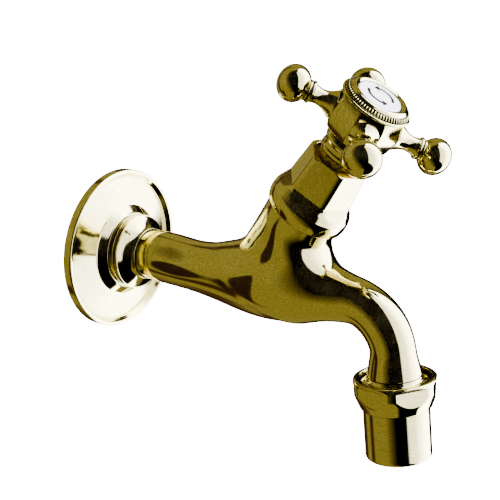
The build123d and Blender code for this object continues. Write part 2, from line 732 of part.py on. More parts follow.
# Index ring: a knurled cap that screws on the spigot and holds the disc
ring_foot = hub_top + seating_gap
knurl_foot = ring_foot + ring_bead_height
knurl_top = knurl_foot + knurl_height
ledge_foot = spigot_top + seating_gap
disc_foot = ledge_foot + ring_ledge
disc_top = disc_foot + disc_thickness
bezel_top = disc_top + bezel_height
with BuildPart() as index_ring:
    with BuildSketch(valve_section):
        with BuildLine():
            Polyline(
                (disc_radius + seating_gap, disc_top + 0.1), (disc_radius + seating_gap, disc_foot),
                (disc_radius - ring_ledge_width, disc_foot), (disc_radius - ring_ledge_width, ledge_foot),
                (spigot_radius + thread_gap, ledge_foot), (spigot_radius + thread_gap, ring_foot),
                (ring_radius - 0.4, ring_foot),
            )
            ThreePointArc(
                (ring_radius - 0.4, ring_foot), (ring_radius, ring_foot + ring_bead_height / 2),
                (ring_radius - 0.5, knurl_foot),
            )
            Polyline(
                (ring_radius - 0.5, knurl_foot), (knurl_foot_radius - 2 * knurl_depth, knurl_foot),
                (knurl_top_radius - 2 * knurl_depth, knurl_top),
            )
            Spline(
                (knurl_top_radius - 2 * knurl_depth, knurl_top),
                (disc_radius + 2.2, bezel_top - 0.25), (disc_radius + 1.2, bezel_top),
                (disc_radius + 0.4, disc_top + 0.3), (disc_radius + seating_gap, disc_top + 0.1),
            )
        make_face()
    revolve(axis=valve_axis)
    # Knurled band, narrower above, on its own solid until it is bored
    for height, knurl_radius in ((knurl_foot, knurl_foot_radius), (knurl_top, knurl_top_radius)):
        knurl_points = []
        for half in range(2 * knurl_count):
            turn = pi * half / knurl_count
            reach = knurl_radius - knurl_depth * (half % 2)
            knurl_points.append((reach * cos(turn), reach * sin(turn)))
        with BuildSketch(across_valve(height)):
            with BuildLine():
                Polyline(*knurl_points, close=True)
            make_face()
    loft(ruled=True)
    revolve(outline(
        valve_section,
        (0, ring_foot - 1), (spigot_radius + thread_gap, ring_foot - 1),
        (spigot_radius + thread_gap, ledge_foot),
        (disc_radius - ring_ledge_width, ledge_foot), (disc_radius - ring_ledge_width, disc_foot),
        (disc_radius + seating_gap, disc_foot), (disc_radius + seating_gap, disc_top + 0.1),
        (disc_radius + seating_gap, bezel_top + 1), (0, bezel_top + 1),
    ), axis=valve_axis, mode=Mode.SUBTRACT)
save(index_ring, "index_ring")

disc_sphere_radius = (disc_radius**2 + disc_crown**2) / (2 * disc_crown)
with BuildPart() as index_disc:
    with BuildSketch(valve_section):
        with BuildLine():
            Polyline(
                (0, disc_top + disc_crown), (0, disc_foot), (disc_radius, disc_foot), (disc_radius, disc_top)
            )
            RadiusArc((disc_radius, disc_top), (0, disc_top + disc_crown), -disc_sphere_radius)
        make_face()
    revolve(axis=valve_axis)
save(index_disc, "index_disc")

# Union nut, which draws the nozzle's flange up against the spout
washer_top = collar_foot
flange_top = washer_top + nozzle_washer_thickness
flange_foot = flange_top + nozzle_flange_thickness
nut_foot = nut_top + nut_height
nut_waist = nut_foot - nut_cone_height
with BuildPart() as union_nut:
    revolve(outline(
        nozzle_section,
        (0, nut_top), (nut_radius - 1.1, nut_top), (nut_radius - 0.45, nut_top + 0.35),
        (nut_radius - 0.1, nut_top + 0.9), (nut_radius, nut_top + 1.6), (nut_radius, nut_waist),
        (nut_foot_radius, nut_foot), (0, nut_foot),
    ), axis=nozzle_axis)
    with BuildSketch(across_nozzle(nut_top)):
        RegularPolygon(nut_flats / 2, 6, major_radius=False, rotation=nut_turn)
    extrude(amount=nut_height, mode=Mode.INTERSECT)
    with BuildSketch(across_nozzle(nut_top)):
        Circle(nut_radius - 1.1)
    extrude(amount=nut_rim_height)
    revolve(outline(
        nozzle_section,
        (0, nut_top), (collar_radius + thread_gap, nut_top), (collar_radius + thread_gap, flange_foot),
        (nozzle_radius + thread_gap, flange_foot), (nozzle_radius + thread_gap, nut_foot), (0, nut_foot),
    ), axis=nozzle_axis, mode=Mode.SUBTRACT)
save(union_nut, "union_nut")

nozzle_bore = nozzle_radius - nozzle_wall
nozzle_foot = flange_top + nozzle_length
lip_top = nozzle_foot - lip_wall
with BuildPart() as outlet_nozzle:
    with BuildSketch(nozzle_section):
        with BuildLine():
            Polyline(
                (lip_radius, nozzle_foot), (lip_radius, lip_top), (nozzle_bore, lip_top),
                (nozzle_bore, flange_top),
                (collar_radius - slip_gap, flange_top), (collar_radius - slip_gap, flange_foot),
                (nozzle_radius - nozzle_neck_relief, flange_foot),
                (nozzle_radius - nozzle_neck_relief, nut_foot),
                (nozzle_radius, nut_foot), (nozzle_radius, nozzle_foot - nozzle_rounding),
            )
            ThreePointArc(
                (nozzle_radius, nozzle_foot - nozzle_rounding),
                (nozzle_radius - 0.3 * nozzle_rounding, nozzle_foot - 0.3 * nozzle_rounding),
                (nozzle_radius - nozzle_rounding, nozzle_foot),
            )
            Line((nozzle_radius - nozzle_rounding, nozzle_foot), (lip_radius, nozzle_foot))
        make_face()
    revolve(axis=nozzle_axis)
save(outlet_nozzle, "outlet_nozzle")

with BuildPart() as nozzle_washer:
    revolve(ring(
        nozzle_section, spout_radius, nozzle_washer_radius, washer_top, flange_top
    ), axis=nozzle_axis)
save(nozzle_washer, "nozzle_washer")

# Flow straightener with its seal and screen, stacked on the nozzle's lip
insert_radius = nozzle_bore - 0.02
screen_top = lip_top - screen_thickness
screen_holes = int(2 * nozzle_bore / screen_pitch)
straightener_top = screen_top - straightener_height
with BuildPart() as nozzle_screen:
    with BuildSketch(across_nozzle(screen_top)):
        Circle(lip_radius)
        with GridLocations(screen_pitch, screen_pitch, screen_holes, screen_holes):
            Rectangle(screen_hole, screen_hole, mode=Mode.SUBTRACT)
    extrude(amount=screen_thickness)
    with BuildSketch(across_nozzle(screen_top)):
        Circle(insert_radius)
        Circle(lip_radius - 0.3, mode=Mode.SUBTRACT)
    extrude(amount=screen_thickness)
save(nozzle_screen, "nozzle_screen")

with BuildPart() as flow_straightener:
    with BuildSketch(across_nozzle(straightener_top)):
        Circle(insert_radius)
        Circle(straightener_hole, mode=Mode.SUBTRACT)
        for row in range(1, straightener_rings + 1):
            with PolarLocations(straightener_pitch * row, 6 * row):
                Circle(straightener_hole, mode=Mode.SUBTRACT)
    extrude(amount=straightener_height)
save(flow_straightener, "flow_straightener")

with BuildPart() as straightener_seal:
    revolve(ring(
        nozzle_section, insert_radius - straightener_seal_width, insert_radius,
        straightener_top - straightener_seal_height, straightener_top
    ), axis=nozzle_axis)
save(straightener_seal, "straightener_seal")
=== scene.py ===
# %% [markdown]
# # A wall tap in polished brass
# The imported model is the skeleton: it says where every piece is and how it moves. This lesson
# gives it the looks of the real tap, which is cast, turned and milled brass, buffed until it
# mirrors the studio. A mirror shows every fault in a mesh, so the pieces that show are made
# again here with fine, even meshes and softened edges, in the places that the frame gives.

# %% Open the frame
import math

import bpy
import numpy as np
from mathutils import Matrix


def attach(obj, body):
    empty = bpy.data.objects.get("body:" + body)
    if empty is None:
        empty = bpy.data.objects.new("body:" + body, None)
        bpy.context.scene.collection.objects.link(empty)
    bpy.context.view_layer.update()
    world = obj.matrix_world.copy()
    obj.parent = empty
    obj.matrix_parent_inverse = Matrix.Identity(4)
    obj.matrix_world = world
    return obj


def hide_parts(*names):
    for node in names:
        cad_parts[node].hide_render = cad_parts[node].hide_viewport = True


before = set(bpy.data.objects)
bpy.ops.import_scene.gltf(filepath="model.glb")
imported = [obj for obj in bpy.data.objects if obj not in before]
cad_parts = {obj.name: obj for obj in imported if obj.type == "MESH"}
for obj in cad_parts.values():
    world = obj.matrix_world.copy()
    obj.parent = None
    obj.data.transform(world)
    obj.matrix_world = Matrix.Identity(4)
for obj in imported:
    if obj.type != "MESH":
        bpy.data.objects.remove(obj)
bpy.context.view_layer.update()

# %% [markdown]
# ## Axes of the tap
# The sizes are written in millimetres, as a fitter reads them, and become metres when a mesh is
# made. Each turned piece has an axis: a foot, a direction across and a direction along. The wall
# end turns about +X, the valve about an axis that leans forward, the nozzle about one that leans
# the other way.

# %% Axes
MM = 0.001
valve_x, valve_lean = 71.8, math.radians(33.3)
nozzle_x, nozzle_lean = 126.5, math.radians(5.6)


def axis_of(foot, across, along):
    """A turning axis: its foot, and the directions across, sideways and along."""
    across, along = np.array(across, float), np.array(along, float)
    return np.array(foot, float), across, np.cross(along, across), along


wall_axis = axis_of((0, 0, 0), (0, 1, 0), (1, 0, 0))
valve_axis = axis_of(
    (valve_x, 0, 0),
    (math.cos(valve_lean), 0, -math.sin(valve_lean)),
    (math.sin(valve_lean), 0, math.cos(valve_lean)),
)
nozzle_axis = axis_of(
    (nozzle_x, 0, 0),
    (math.cos(nozzle_lean), 0, math.sin(nozzle_lean)),
    (math.sin(nozzle_lean), 0, -math.cos(nozzle_lean)),
)
print("valve leans", round(math.degrees(valve_lean), 1), "degrees")

# %% [markdown]
# ## Camera
# The photograph looks down a little on the tap from its right-hand side, from about half a metre
# away. The place, the turn and the lens were solved from the photograph.

# %% Camera
camera_turn = math.radians(34.28)
camera_data = bpy.data.cameras.new("camera")
camera_data.lens = 84.605
camera_data.sensor_width = 36.0
camera = bpy.data.objects.new("camera", camera_data)
camera.location = (0.30752, -0.35418, 0.13633)
camera.rotation_euler = (math.radians(73.53), 0, camera_turn)
bpy.context.scene.collection.objects.link(camera)
bpy.context.scene.camera = camera
print("camera at", [round(v, 3) for v in camera.location])

# %% [markdown]
# ## Nodes
# Materials, the studio and Geometry Nodes are all trees of nodes. One helper adds a node, sets
# what it says on its face, and fills or links its inputs. Colours are written as on a screen and
# turned to the linear numbers that a renderer adds up.

# %% Node helpers
def linear(code):
    """An sRGB hex colour as linear red, green, blue and alpha."""
    parts = [int(code[i:i + 2], 16) / 255 for i in (1, 3, 5)]
    return tuple(p / 12.92 if p <= 0.04045 else ((p + 0.055) / 1.055) ** 2.4 for p in parts) + (1.0,)


def add(tree, kind, inputs=None, **settings):
    """Add one node, with its settings, and its inputs as values or as links."""
    node = tree.nodes.new(kind)
    for key, value in settings.items():
        setattr(node, key, value)
    for socket, value in (inputs or {}).items():
        if isinstance(value, bpy.types.NodeSocket):
            tree.links.new(value, node.inputs[socket])
        else:
            node.inputs[socket].default_value = value
    return node


def fill_ramp(node, stops, smooth="LINEAR"):
    """Give a Color Ramp its stops, as pairs of place and colour."""
    ramp = node.color_ramp
    ramp.interpolation = smooth
    while len(ramp.elements) < len(stops):
        ramp.elements.new(0.5)
    for element, (place, colour) in zip(ramp.elements, stops):
        element.position = place
        element.color = colour
    return node.outputs["Color"]


def new_material(name):
    """A material with an empty tree of nodes, and that tree."""
    material = bpy.data.materials.new(name)
    material.use_nodes = True
    material.node_tree.nodes.clear()
    return material, material.node_tree


# %% [markdown]
# ## Studio
# Polished brass has almost no colour of its own: it shows what stands round it. A photographer
# lights it with one large cool softbox to the right, keeps black cloth round the camera so that
# the shapes get dark bands, and lets the left and the top of the room glow dimly, between brown
# strips. The cloth hangs aslant. That room is painted on the world by direction: a turn round the
# room, from 0 behind on the left through 0.5 at the camera to 1, and a height from -1 to 1. Only
# a mirror sees the painted room. All else sees a plain pale one.

# %% Studio room
camera_side = math.pi / 2 - camera_turn
world = bpy.data.worlds.new("studio")
bpy.context.scene.world = world
world.use_nodes = True
room = world.node_tree
room.nodes.clear()
towards = add(room, "ShaderNodeTexCoord").outputs["Generated"]
turned_room = add(room, "ShaderNodeMapping", {
    "Vector": towards, "Rotation": (0, 0, camera_side),
}, vector_type="POINT")
round_room = add(room, "ShaderNodeTexGradient", {
    "Vector": turned_room.outputs["Vector"],
}, gradient_type="RADIAL")
turn_share = round_room.outputs["Fac"]
height = add(room, "ShaderNodeSeparateXYZ", {"Vector": towards}).outputs["Z"]
cloth_lean = 0.13
aslant = add(room, "ShaderNodeMath", {
    0: height, 1: cloth_lean, 2: turn_share,
}, operation="MULTIPLY_ADD").outputs[0]
DIM = (0.325, 0.297, 0.150, 1)
DUSK = (0.14, 0.118, 0.045, 1)
DARK = (0.005, 0.003, 0.002, 1)
BROWN = (0.09, 0.05, 0.03, 1)
CLEAR, FAINT, SOFT, FULL = (0, 0, 0, 1), (0.34, 0.34, 0.34, 1), (0.40, 0.40, 0.40, 1), (1, 1, 1, 1)

# %% Bands round the room, and levels up it
band = {}
for name, place, stops in (
    ("walls", aslant, [
        (0.00, BROWN), (0.05, BROWN), (0.07, DIM), (0.12, DIM), (0.14, BROWN), (0.165, BROWN),
        (0.185, DIM), (0.33, DIM), (0.385, DUSK), (0.43, DARK), (1.00, DARK),
    ]),
    ("off_cloth", aslant, [(0.40, FULL), (0.43, CLEAR), (0.62, CLEAR), (0.66, FULL)]),
    ("behind", turn_share, [(0.05, FULL), (0.07, CLEAR), (0.87, CLEAR), (0.91, FULL)]),
    ("box_start", turn_share, [(0.572, CLEAR), (0.582, FULL)]),
    ("box_glow", turn_share, [(0.57, FAINT), (0.66, SOFT), (0.78, FULL), (0.855, FULL), (0.868, CLEAR)]),
):
    band[name] = fill_ramp(add(room, "ShaderNodeValToRGB", {"Fac": place}), stops)
level = {}
for name, low, high in (("above", 0.28, 0.45), ("below", -0.68, -0.85), ("box_top", 0.985, 0.95)):
    level[name] = add(room, "ShaderNodeMapRange", {
        "Value": height, "From Min": low, "From Max": high,
    }, interpolation_type="SMOOTHSTEP").outputs["Result"]
print("bands", list(band), "levels", list(level))

# %% Walls and softbox
above = add(room, "ShaderNodeMath", {0: level["above"], 1: band["behind"]}, operation="MULTIPLY")
below = add(room, "ShaderNodeMath", {0: level["below"], 1: band["off_cloth"]}, operation="MULTIPLY")
upper_walls = add(room, "ShaderNodeMix", {
    "Factor": above.outputs[0], 6: band["walls"], 7: DIM,
}, data_type="RGBA")
lit_walls = add(room, "ShaderNodeMix", {
    "Factor": below.outputs[0], 6: upper_walls.outputs[2], 7: DIM,
}, data_type="RGBA").outputs[2]
# The softbox stands aslant, so its lower edge climbs as it nears the camera
edge_slope = 3.0
under_edge = add(room, "ShaderNodeMath", {
    0: turn_share, 1: edge_slope, 2: height,
}, operation="MULTIPLY_ADD").outputs[0]
box_foot = add(room, "ShaderNodeMapRange", {"Value": under_edge, "From Min": 1.40, "From Max": 1.47})
box_height = add(room, "ShaderNodeMath", {
    0: level["box_top"], 1: box_foot.outputs["Result"],
}, operation="MULTIPLY")
box_share = add(room, "ShaderNodeMath", {
    0: band["box_start"], 1: box_height.outputs[0],
}, operation="MULTIPLY")
softbox = add(room, "ShaderNodeMix", {
    "Factor": box_share.outputs[0], 6: CLEAR, 7: band["box_glow"],
}, data_type="RGBA").outputs[2]
cool_box = add(room, "ShaderNodeMix", {
    "Factor": 1.0, 6: softbox, 7: (0.92, 0.97, 1.22, 1),
}, data_type="RGBA", blend_type="MULTIPLY").outputs[2]
box_strength = 5.5
backdrop_strength = 6.0
room_light = add(room, "ShaderNodeBackground", {"Color": lit_walls, "Strength": 1.0})
box_light = add(room, "ShaderNodeBackground", {"Color": cool_box, "Strength": box_strength})
seen_in_brass = add(room, "ShaderNodeAddShader", {0: room_light.outputs[0], 1: box_light.outputs[0]})
pale = add(room, "ShaderNodeBackground", {"Color": linear("#ffffff"), "Strength": backdrop_strength})
ray = add(room, "ShaderNodeLightPath")
mirrored = ray.outputs["Is Glossy Ray"]
chosen = add(room, "ShaderNodeMixShader", {0: mirrored, 1: pale.outputs[0], 2: seen_in_brass.outputs[0]})
add(room, "ShaderNodeOutputWorld", {"Surface": chosen.outputs[0]})
print("studio round the tap, camera side", round(math.degrees(camera_side), 1))

# %% [markdown]
# ## Mesh helpers
# A turner works from a profile. Here a profile is a list of radius, height and how far back the
# corner is softened. Buffing rounds every edge, and a mirror needs points close together, so the
# profile is softened first and then divided evenly.

# %% Profiles
def softened(*corners, step=0.3, turns=5):
    """A profile with its corners rounded and its lengths divided, as radius and height."""
    points = [np.array(corners[0][:2], float)]
    for before, here, after in zip(corners, corners[1:], corners[2:]):
        corner = np.array(here[:2], float)
        back, ahead = np.array(before[:2]) - corner, np.array(after[:2]) - corner
        back_length, ahead_length = np.hypot(*back), np.hypot(*ahead)
        setback = min(here[2] if len(here) > 2 else 0.0, 0.45 * back_length, 0.45 * ahead_length)
        if setback < 1e-4:
            points.append(corner)
            continue
        start, end = corner + back / back_length * setback, corner + ahead / ahead_length * setback
        for share in np.linspace(0, 1, turns):
            points.append((1 - share) ** 2 * start + 2 * share * (1 - share) * corner + share**2 * end)
    points.append(np.array(corners[-1][:2], float))
    fine = [points[0]]
    for start, end in zip(points, points[1:]):
        pieces = max(1, math.ceil(np.hypot(*(end - start)) / step))
        fine += [start + (end - start) * piece / pieces for piece in range(1, pieces + 1)]
    return np.array(fine)


def through(*points, count=8):
    """Points on one smooth curve through the given ones."""
    known = [np.array(p, float) for p in points]
    known = [2 * known[0] - known[1]] + known + [2 * known[-1] - known[-2]]
    curve = []
    for a, b, c, d in zip(known, known[1:], known[2:], known[3:]):
        for share in np.arange(count) / count:
            curve.append(tuple(0.5 * (
                2 * b + (c - a) * share + (2 * a - 5 * b + 4 * c - d) * share**2
                + (3 * b - a - 3 * c + d) * share**3
            )))
    curve.append(tuple(known[-2]))
    return curve


def smallest(first, second, blend):
    """The smaller of two lengths, with the edge between them rounded over a width."""
    near = np.maximum(blend - np.abs(first - second), 0) / blend
    return np.minimum(first, second) - near**2 * blend / 4


def new_piece(name, corners, faces, material):
    """A smooth-shaded mesh object from corners in millimetres."""
    mesh = bpy.data.meshes.new(name)
    mesh.from_pydata((np.asarray(corners) * MM).tolist(), [], faces)
    mesh.polygons.foreach_set("use_smooth", [True] * len(mesh.polygons))
    mesh.materials.append(material)
    piece = bpy.data.objects.new(name, mesh)
    bpy.context.scene.collection.objects.link(piece)
    return piece


def spun(profile, axis, around=192, flats=None, bore=0.0, blend=0.5):
    """Corners and faces of a profile turned about an axis. flats gives the reach of milled faces."""
    profile = np.asarray(profile, float)
    closed = np.allclose(profile[0], profile[-1])
    if closed:
        profile = profile[:-1]
    turn = np.arange(around) * 2 * math.pi / around
    radii = np.repeat(profile[:, :1], around, axis=1)
    if flats:
        widest = np.array([profile[np.abs(profile[:, 1] - h) < 0.02, 0].max() for h in profile[:, 1]])
        reach = flats(turn[None, :], profile[:, 1:])
        cut = smallest(widest[:, None], reach, blend) / np.maximum(widest[:, None], 1e-6)
        share = np.clip((profile[:, 0] - bore) / np.maximum(widest - bore, 1e-6), 0, 1)[:, None]
        radii = radii * (1 - share + share * cut)
    foot, across, side, along = axis
    corners, rows = [], []
    for row, (radius, height) in enumerate(profile):
        if radius < 1e-6:
            rows.append([len(corners)] * around)
            corners.append(foot + along * height)
            continue
        rows.append(list(range(len(corners), len(corners) + around)))
        ring = foot + along * height + radii[row][:, None] * (
            np.cos(turn)[:, None] * across + np.sin(turn)[:, None] * side
        )
        corners.extend(ring)
    pairs = list(zip(rows, rows[1:])) + ([(rows[-1], rows[0])] if closed else [])
    faces = []
    for low, high in pairs:
        for here in range(around):
            after = (here + 1) % around
            face = [low[here], low[after], high[after], high[here]]
            face = [c for i, c in enumerate(face) if c != face[i - 1]]
            if len(face) > 2:
                faces.append(face)
    return np.array(corners), faces


def placed_shell(mesh, axis, height):
    """A tree's mesh, set on an axis at a height, as corners in millimetres and faces."""
    foot, across, side, along = axis
    local = np.zeros(len(mesh.vertices) * 3)
    mesh.vertices.foreach_get("co", local)
    local = local.reshape(-1, 3) / MM
    corners = foot + along * height + local @ np.stack([across, side, along])
    return corners, [list(face.vertices) for face in mesh.polygons]


def join_shells(*shells):
    """Several shells as one list of corners and one of faces."""
    corners, faces, start = [], [], 0
    for shell_corners, shell_faces in shells:
        corners.append(shell_corners)
        faces += [[c + start for c in face] for face in shell_faces]
        start += len(shell_corners)
    return np.concatenate(corners), faces


def run_tree(tree, name, sizes):
    """The plain mesh that a Geometry Nodes tree makes with the given sizes."""
    carrier = bpy.data.objects.new(name, bpy.data.meshes.new(name))
    bpy.context.scene.collection.objects.link(carrier)
    modifier = carrier.modifiers.new("tree", "NODES")
    modifier.node_group = tree
    for item in tree.interface.items_tree:
        if item.item_type == "SOCKET" and item.in_out == "INPUT" and item.name in sizes:
            modifier[item.identifier] = sizes[item.name]
    mesh = bpy.data.meshes.new_from_object(carrier.evaluated_get(bpy.context.evaluated_depsgraph_get()))
    bpy.data.objects.remove(carrier)
    return mesh


def new_tree(name, sizes):
    """An empty Geometry Nodes tree with named inputs, its input node and its output node."""
    tree = bpy.data.node_groups.new(name, "GeometryNodeTree")
    for label, (kind, value) in sizes.items():
        socket = tree.interface.new_socket(label, in_out="INPUT", socket_type=kind)
        socket.default_value = value
    tree.interface.new_socket("Geometry", in_out="OUTPUT", socket_type="NodeSocketGeometry")
    return tree, add(tree, "NodeGroupInput"), add(tree, "NodeGroupOutput")


def end_tree(tree, result, geometry, material):
    """End a tree with its instances made real, shaded smooth and given one material."""
    real = add(tree, "GeometryNodeRealizeInstances", {"Geometry": geometry})
    smooth = add(tree, "GeometryNodeSetShadeSmooth", {"Geometry": real.outputs["Geometry"]})
    dressed = add(tree, "GeometryNodeSetMaterial", {
        "Geometry": smooth.outputs["Geometry"], "Material": material,
    })
    tree.links.new(dressed.outputs["Geometry"], result.inputs["Geometry"])


def polygon_reach(sides, apothem, corner_turn, sharp=90):
    """Reach of a prism's milled faces. apothem is a function of height, sharp how crisp corners are."""
    half = math.pi / sides

    def reach(turn, height):
        off = (turn - math.radians(corner_turn)) % (2 * half) - half
        pair = np.cos(off) ** sharp + np.cos(2 * half - np.abs(off)) ** sharp
        return apothem(height) / pair ** (1 / sharp)

    return reach


def dress(piece, body, slot, *nodes):
    """Let a piece ride on its body and stand for its nodes, which are hidden; slot is not used."""
    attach(piece, body)
    if nodes:
        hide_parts(*nodes)
    print(piece.name, len(piece.data.polygons), "faces, stands for", nodes)


# %% [markdown]
# ## Polished brass
# Brass is copper with about a third of zinc. This tap is cast or turned, ground, and buffed on a
# cloth wheel with compound. The eye sees a mirror that is yellow to olive, with very fine marks left
# by the wheel. Its corners are darker and browner, partly from old polish and partly from painted
# shade. The marks run round a turned piece and along a cast one, and on a ball they run every way,
# so the same recipe is made once for each of these.

# %% Brass finishes
def polished_brass(name, turn, stretch, depth=0.03):
    """Buffed brass whose wheel marks are stretched in one direction and this deep."""
    material, tree = new_material(name)
    place = add(tree, "ShaderNodeTexCoord").outputs["Object"]
    along = add(tree, "ShaderNodeMapping", {"Vector": place, "Rotation": turn, "Scale": stretch})
    # Wheel marks, about 0.15 mm apart on the real metal and drawn two to four times as coarse to show
    marks = add(tree, "ShaderNodeTexNoise", {
        "Vector": along.outputs["Vector"], "Scale": 1.0, "Detail": 6.0, "Roughness": 0.6,
    })
    # Cloudy changes of polish, 6 mm across
    clouds = add(tree, "ShaderNodeTexNoise", {"Vector": place, "Scale": 160.0, "Detail": 3.0})
    # The grain of the buffed skin, half a millimetre, the same in every direction
    grain = add(tree, "ShaderNodeTexNoise", {"Vector": place, "Scale": 2000.0, "Detail": 2.0})
    dull = add(tree, "ShaderNodeMath", {
        0: marks.outputs["Fac"], 1: clouds.outputs["Fac"],
    }, operation="MULTIPLY")
    rough = add(tree, "ShaderNodeMapRange", {
        "Value": dull.outputs[0], "From Min": 0.12, "From Max": 0.42, "To Min": 0.05, "To Max": 0.12,
    })
    speckle = add(tree, "ShaderNodeMath", {
        0: marks.outputs["Fac"], 1: grain.outputs["Fac"],
    }, operation="ADD")
    half_speckle = add(tree, "ShaderNodeMath", {0: speckle.outputs[0], 1: 0.5}, operation="MULTIPLY")
    colour = add(tree, "ShaderNodeValToRGB", {"Fac": half_speckle.outputs[0]})
    shade = fill_ramp(colour, [
        (0.36, linear("#c9bd7c")), (0.5, linear("#d8ce93")), (0.64, linear("#e3dba6")),
    ])
    # Painted shade in the corners, together with old polish and tarnish: within two or three
    # millimetres of a corner the colour darkens towards near black
    corner = add(tree, "ShaderNodeAmbientOcclusion", {"Distance": 0.0025}, samples=8)
    corner_shade = add(tree, "ShaderNodeMapRange", {
        "Value": corner.outputs["AO"], "From Min": 0.3, "From Max": 0.85,
    })
    # The painted corner shade is mixed over the brass colour here
    shaded_and_tarnished = add(tree, "ShaderNodeMix", {
        "Factor": corner_shade.outputs["Result"], 6: linear("#150d06"), 7: shade,
    }, data_type="RGBA")
    bump = add(tree, "ShaderNodeBump", {
        "Height": marks.outputs["Fac"], "Strength": depth, "Distance": 0.1 * MM,
    })
    shader = add(tree, "ShaderNodeBsdfPrincipled", {
        "Base Color": shaded_and_tarnished.outputs[2], "Metallic": 1.0, "Roughness": rough.outputs["Result"],
        "Normal": bump.outputs["Normal"],
    })
    add(tree, "ShaderNodeOutputMaterial", {"Surface": shader.outputs[0]})
    return material


brass_cast = polished_brass("buffed_cast_brass", (0, 0, 0), (900, 2200, 2200), depth=0.04)
brass_ball = polished_brass("bright_buffed_brass", (0, 0, 0), (1800, 1800, 1800), depth=0.015)
brass_valve = polished_brass("buffed_turned_brass_valve", (0, -valve_lean, 0), (220, 220, 3200))
brass_milled = polished_brass("buffed_milled_brass", (0, -valve_lean, 0), (2600, 2600, 420))
brass_nozzle = polished_brass("buffed_turned_brass_nozzle", (0, nozzle_lean, 0), (220, 220, 3200))
brass_wall = polished_brass("buffed_turned_brass_wall", (0, 0, 0), (3200, 220, 220))
print("six brass finishes: cast, ball, valve, milled, nozzle and wall")


# %% [markdown]
# ## Other finishes
# Inside the tap there are plain machined brass, black nitrile rubber, red vulcanised fibre and
# white PTFE packing. The disc on the handle is glazed porcelain and the nozzle's insert is white
# moulded plastic with a steel mesh under it. The inner nodes keep their CAD shape and get one of
# these, and so does the slotted ring nut, in the valve's brass.

# %% Other finishes
def plain_finish(name, dark, light, grain, roughness, metallic=0.0, coat=0.0, bumps=0.1):
    """A simple finish: two close colours in a fine grain, with a roughness that follows it."""
    material, tree = new_material(name)
    place = add(tree, "ShaderNodeTexCoord").outputs["Object"]
    noise = add(tree, "ShaderNodeTexNoise", {"Vector": place, "Scale": grain, "Detail": 5.0})
    colour = add(tree, "ShaderNodeValToRGB", {"Fac": noise.outputs["Fac"]})
    shade = fill_ramp(colour, [(0.35, linear(dark)), (0.65, linear(light))])
    rough = add(tree, "ShaderNodeMapRange", {
        "Value": noise.outputs["Fac"], "From Min": 0.3, "From Max": 0.7,
        "To Min": roughness * 0.8, "To Max": roughness * 1.2,
    })
    bump = add(tree, "ShaderNodeBump", {
        "Height": noise.outputs["Fac"], "Strength": bumps, "Distance": 0.1 * MM,
    })
    shader = add(tree, "ShaderNodeBsdfPrincipled", {
        "Base Color": shade, "Metallic": metallic, "Roughness": rough.outputs["Result"],
        "Normal": bump.outputs["Normal"], "Coat Weight": coat,
    })
    add(tree, "ShaderNodeOutputMaterial", {"Surface": shader.outputs[0]})
    return material


machined_brass = plain_finish("machined_brass", "#8f7327", "#b59a45", 900.0, 0.32, metallic=1.0)
nitrile = plain_finish("nitrile_rubber", "#0f0f0e", "#1d1c1a", 1500.0, 0.6, bumps=0.3)
fibre = plain_finish("vulcanised_fibre", "#6d2318", "#8a3324", 1200.0, 0.7, bumps=0.4)
packing = plain_finish("ptfe_packing", "#d9d8d2", "#efeee9", 1400.0, 0.5, bumps=0.3)
porcelain = plain_finish("glazed_porcelain", "#a6a6b4", "#b0b0bd", 250.0, 0.12, coat=0.6, bumps=0.02)
printed = plain_finish("fired_black_print", "#14110c", "#241f16", 1800.0, 0.25, coat=0.4, bumps=0.05)
moulded = plain_finish("moulded_acetal", "#dcdcd6", "#ecebe6", 1100.0, 0.4, bumps=0.1)
steel = plain_finish("stainless_wire", "#8d8f90", "#b9bbbc", 1500.0, 0.25, metallic=1.0, bumps=0.1)
node_finish = {
    "valve_bonnet": machined_brass, "jumper": machined_brass, "washer_nut": machined_brass,
    "spindle": machined_brass, "handle_screw": machined_brass, "gland_packing": packing,
    "bonnet_washer": fibre, "nozzle_washer": fibre, "valve_washer": nitrile, "flange_o_ring": nitrile,
    "straightener_seal": nitrile, "flow_straightener": moulded, "nozzle_screen": steel,
    "index_disc": porcelain, "wall_flange": brass_wall, "tap_body": brass_cast,
    "outlet_nozzle": brass_nozzle, "union_nut": brass_nozzle,
}
for name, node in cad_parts.items():
    node.data.materials.clear()
    node.data.materials.append(node_finish.get(name, brass_valve))
print("finishes on", len(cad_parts), "nodes")

# %% [markdown]
# ## Wall flange
# The flange is spun from sheet brass: a dish with a raised rim, a shallow cone for a face, and a
# grooved boss that closes on the neck in a hollow cone. One closed profile, inside and out, is
# turned about the wall's axis.

# %% Wall flange
flange_reach = 32.49
flange_profile = softened(
    (flange_reach, 0), (flange_reach, 3.7, 1.5), (30.95, 3.7, 0.25), (29.65, 1.95, 0.12), (18.4, 4.7, 0.4),
    (15.6, 7.3, 0.3), (15.3, 7.7, 0.1), (14.6, 7.9, 0.1), (14.6, 9.2, 0.1), (15.15, 9.45, 0.12),
    (15.15, 9.9, 0.12),
    (14.75, 10.05, 0.05), (14.75, 10.55, 0.05), (15.1, 10.7, 0.15), (15.1, 12.0, 0.3),
    *through((14.7, 12.1), (12.5, 13.8), (10.7, 15.75), (10.25, 17.1)), (10.1, 17.2, 0.05),
    (10.1, 11.4), (11.4, 11.4), (11.4, 9.2), (10.1, 9.2), (10.1, 8.6),
    (13.4, 7.5), (15.1, 5.0), (17.3, 3.8), (29.6, 1.2), (30.4, 1.9), (31.3, 0), (flange_reach, 0),
)
flange = new_piece("flange", *spun(flange_profile, wall_axis, around=256), brass_wall)
dress(flange, "casting", "polished_brass", "wall_flange")

# %% [markdown]
# ## Casting
# The body was cast in sand and ground to shape, so its tail, belly, column and spout flow into
# each other. Two simple shapes are described by how far a point is from their skins: a tube that
# follows the water's run, and a column of ovals. A rounded union of the two gives the foundry's
# fillet. A voxel mesh of both is the clay, and each of its points is then drawn onto that skin.

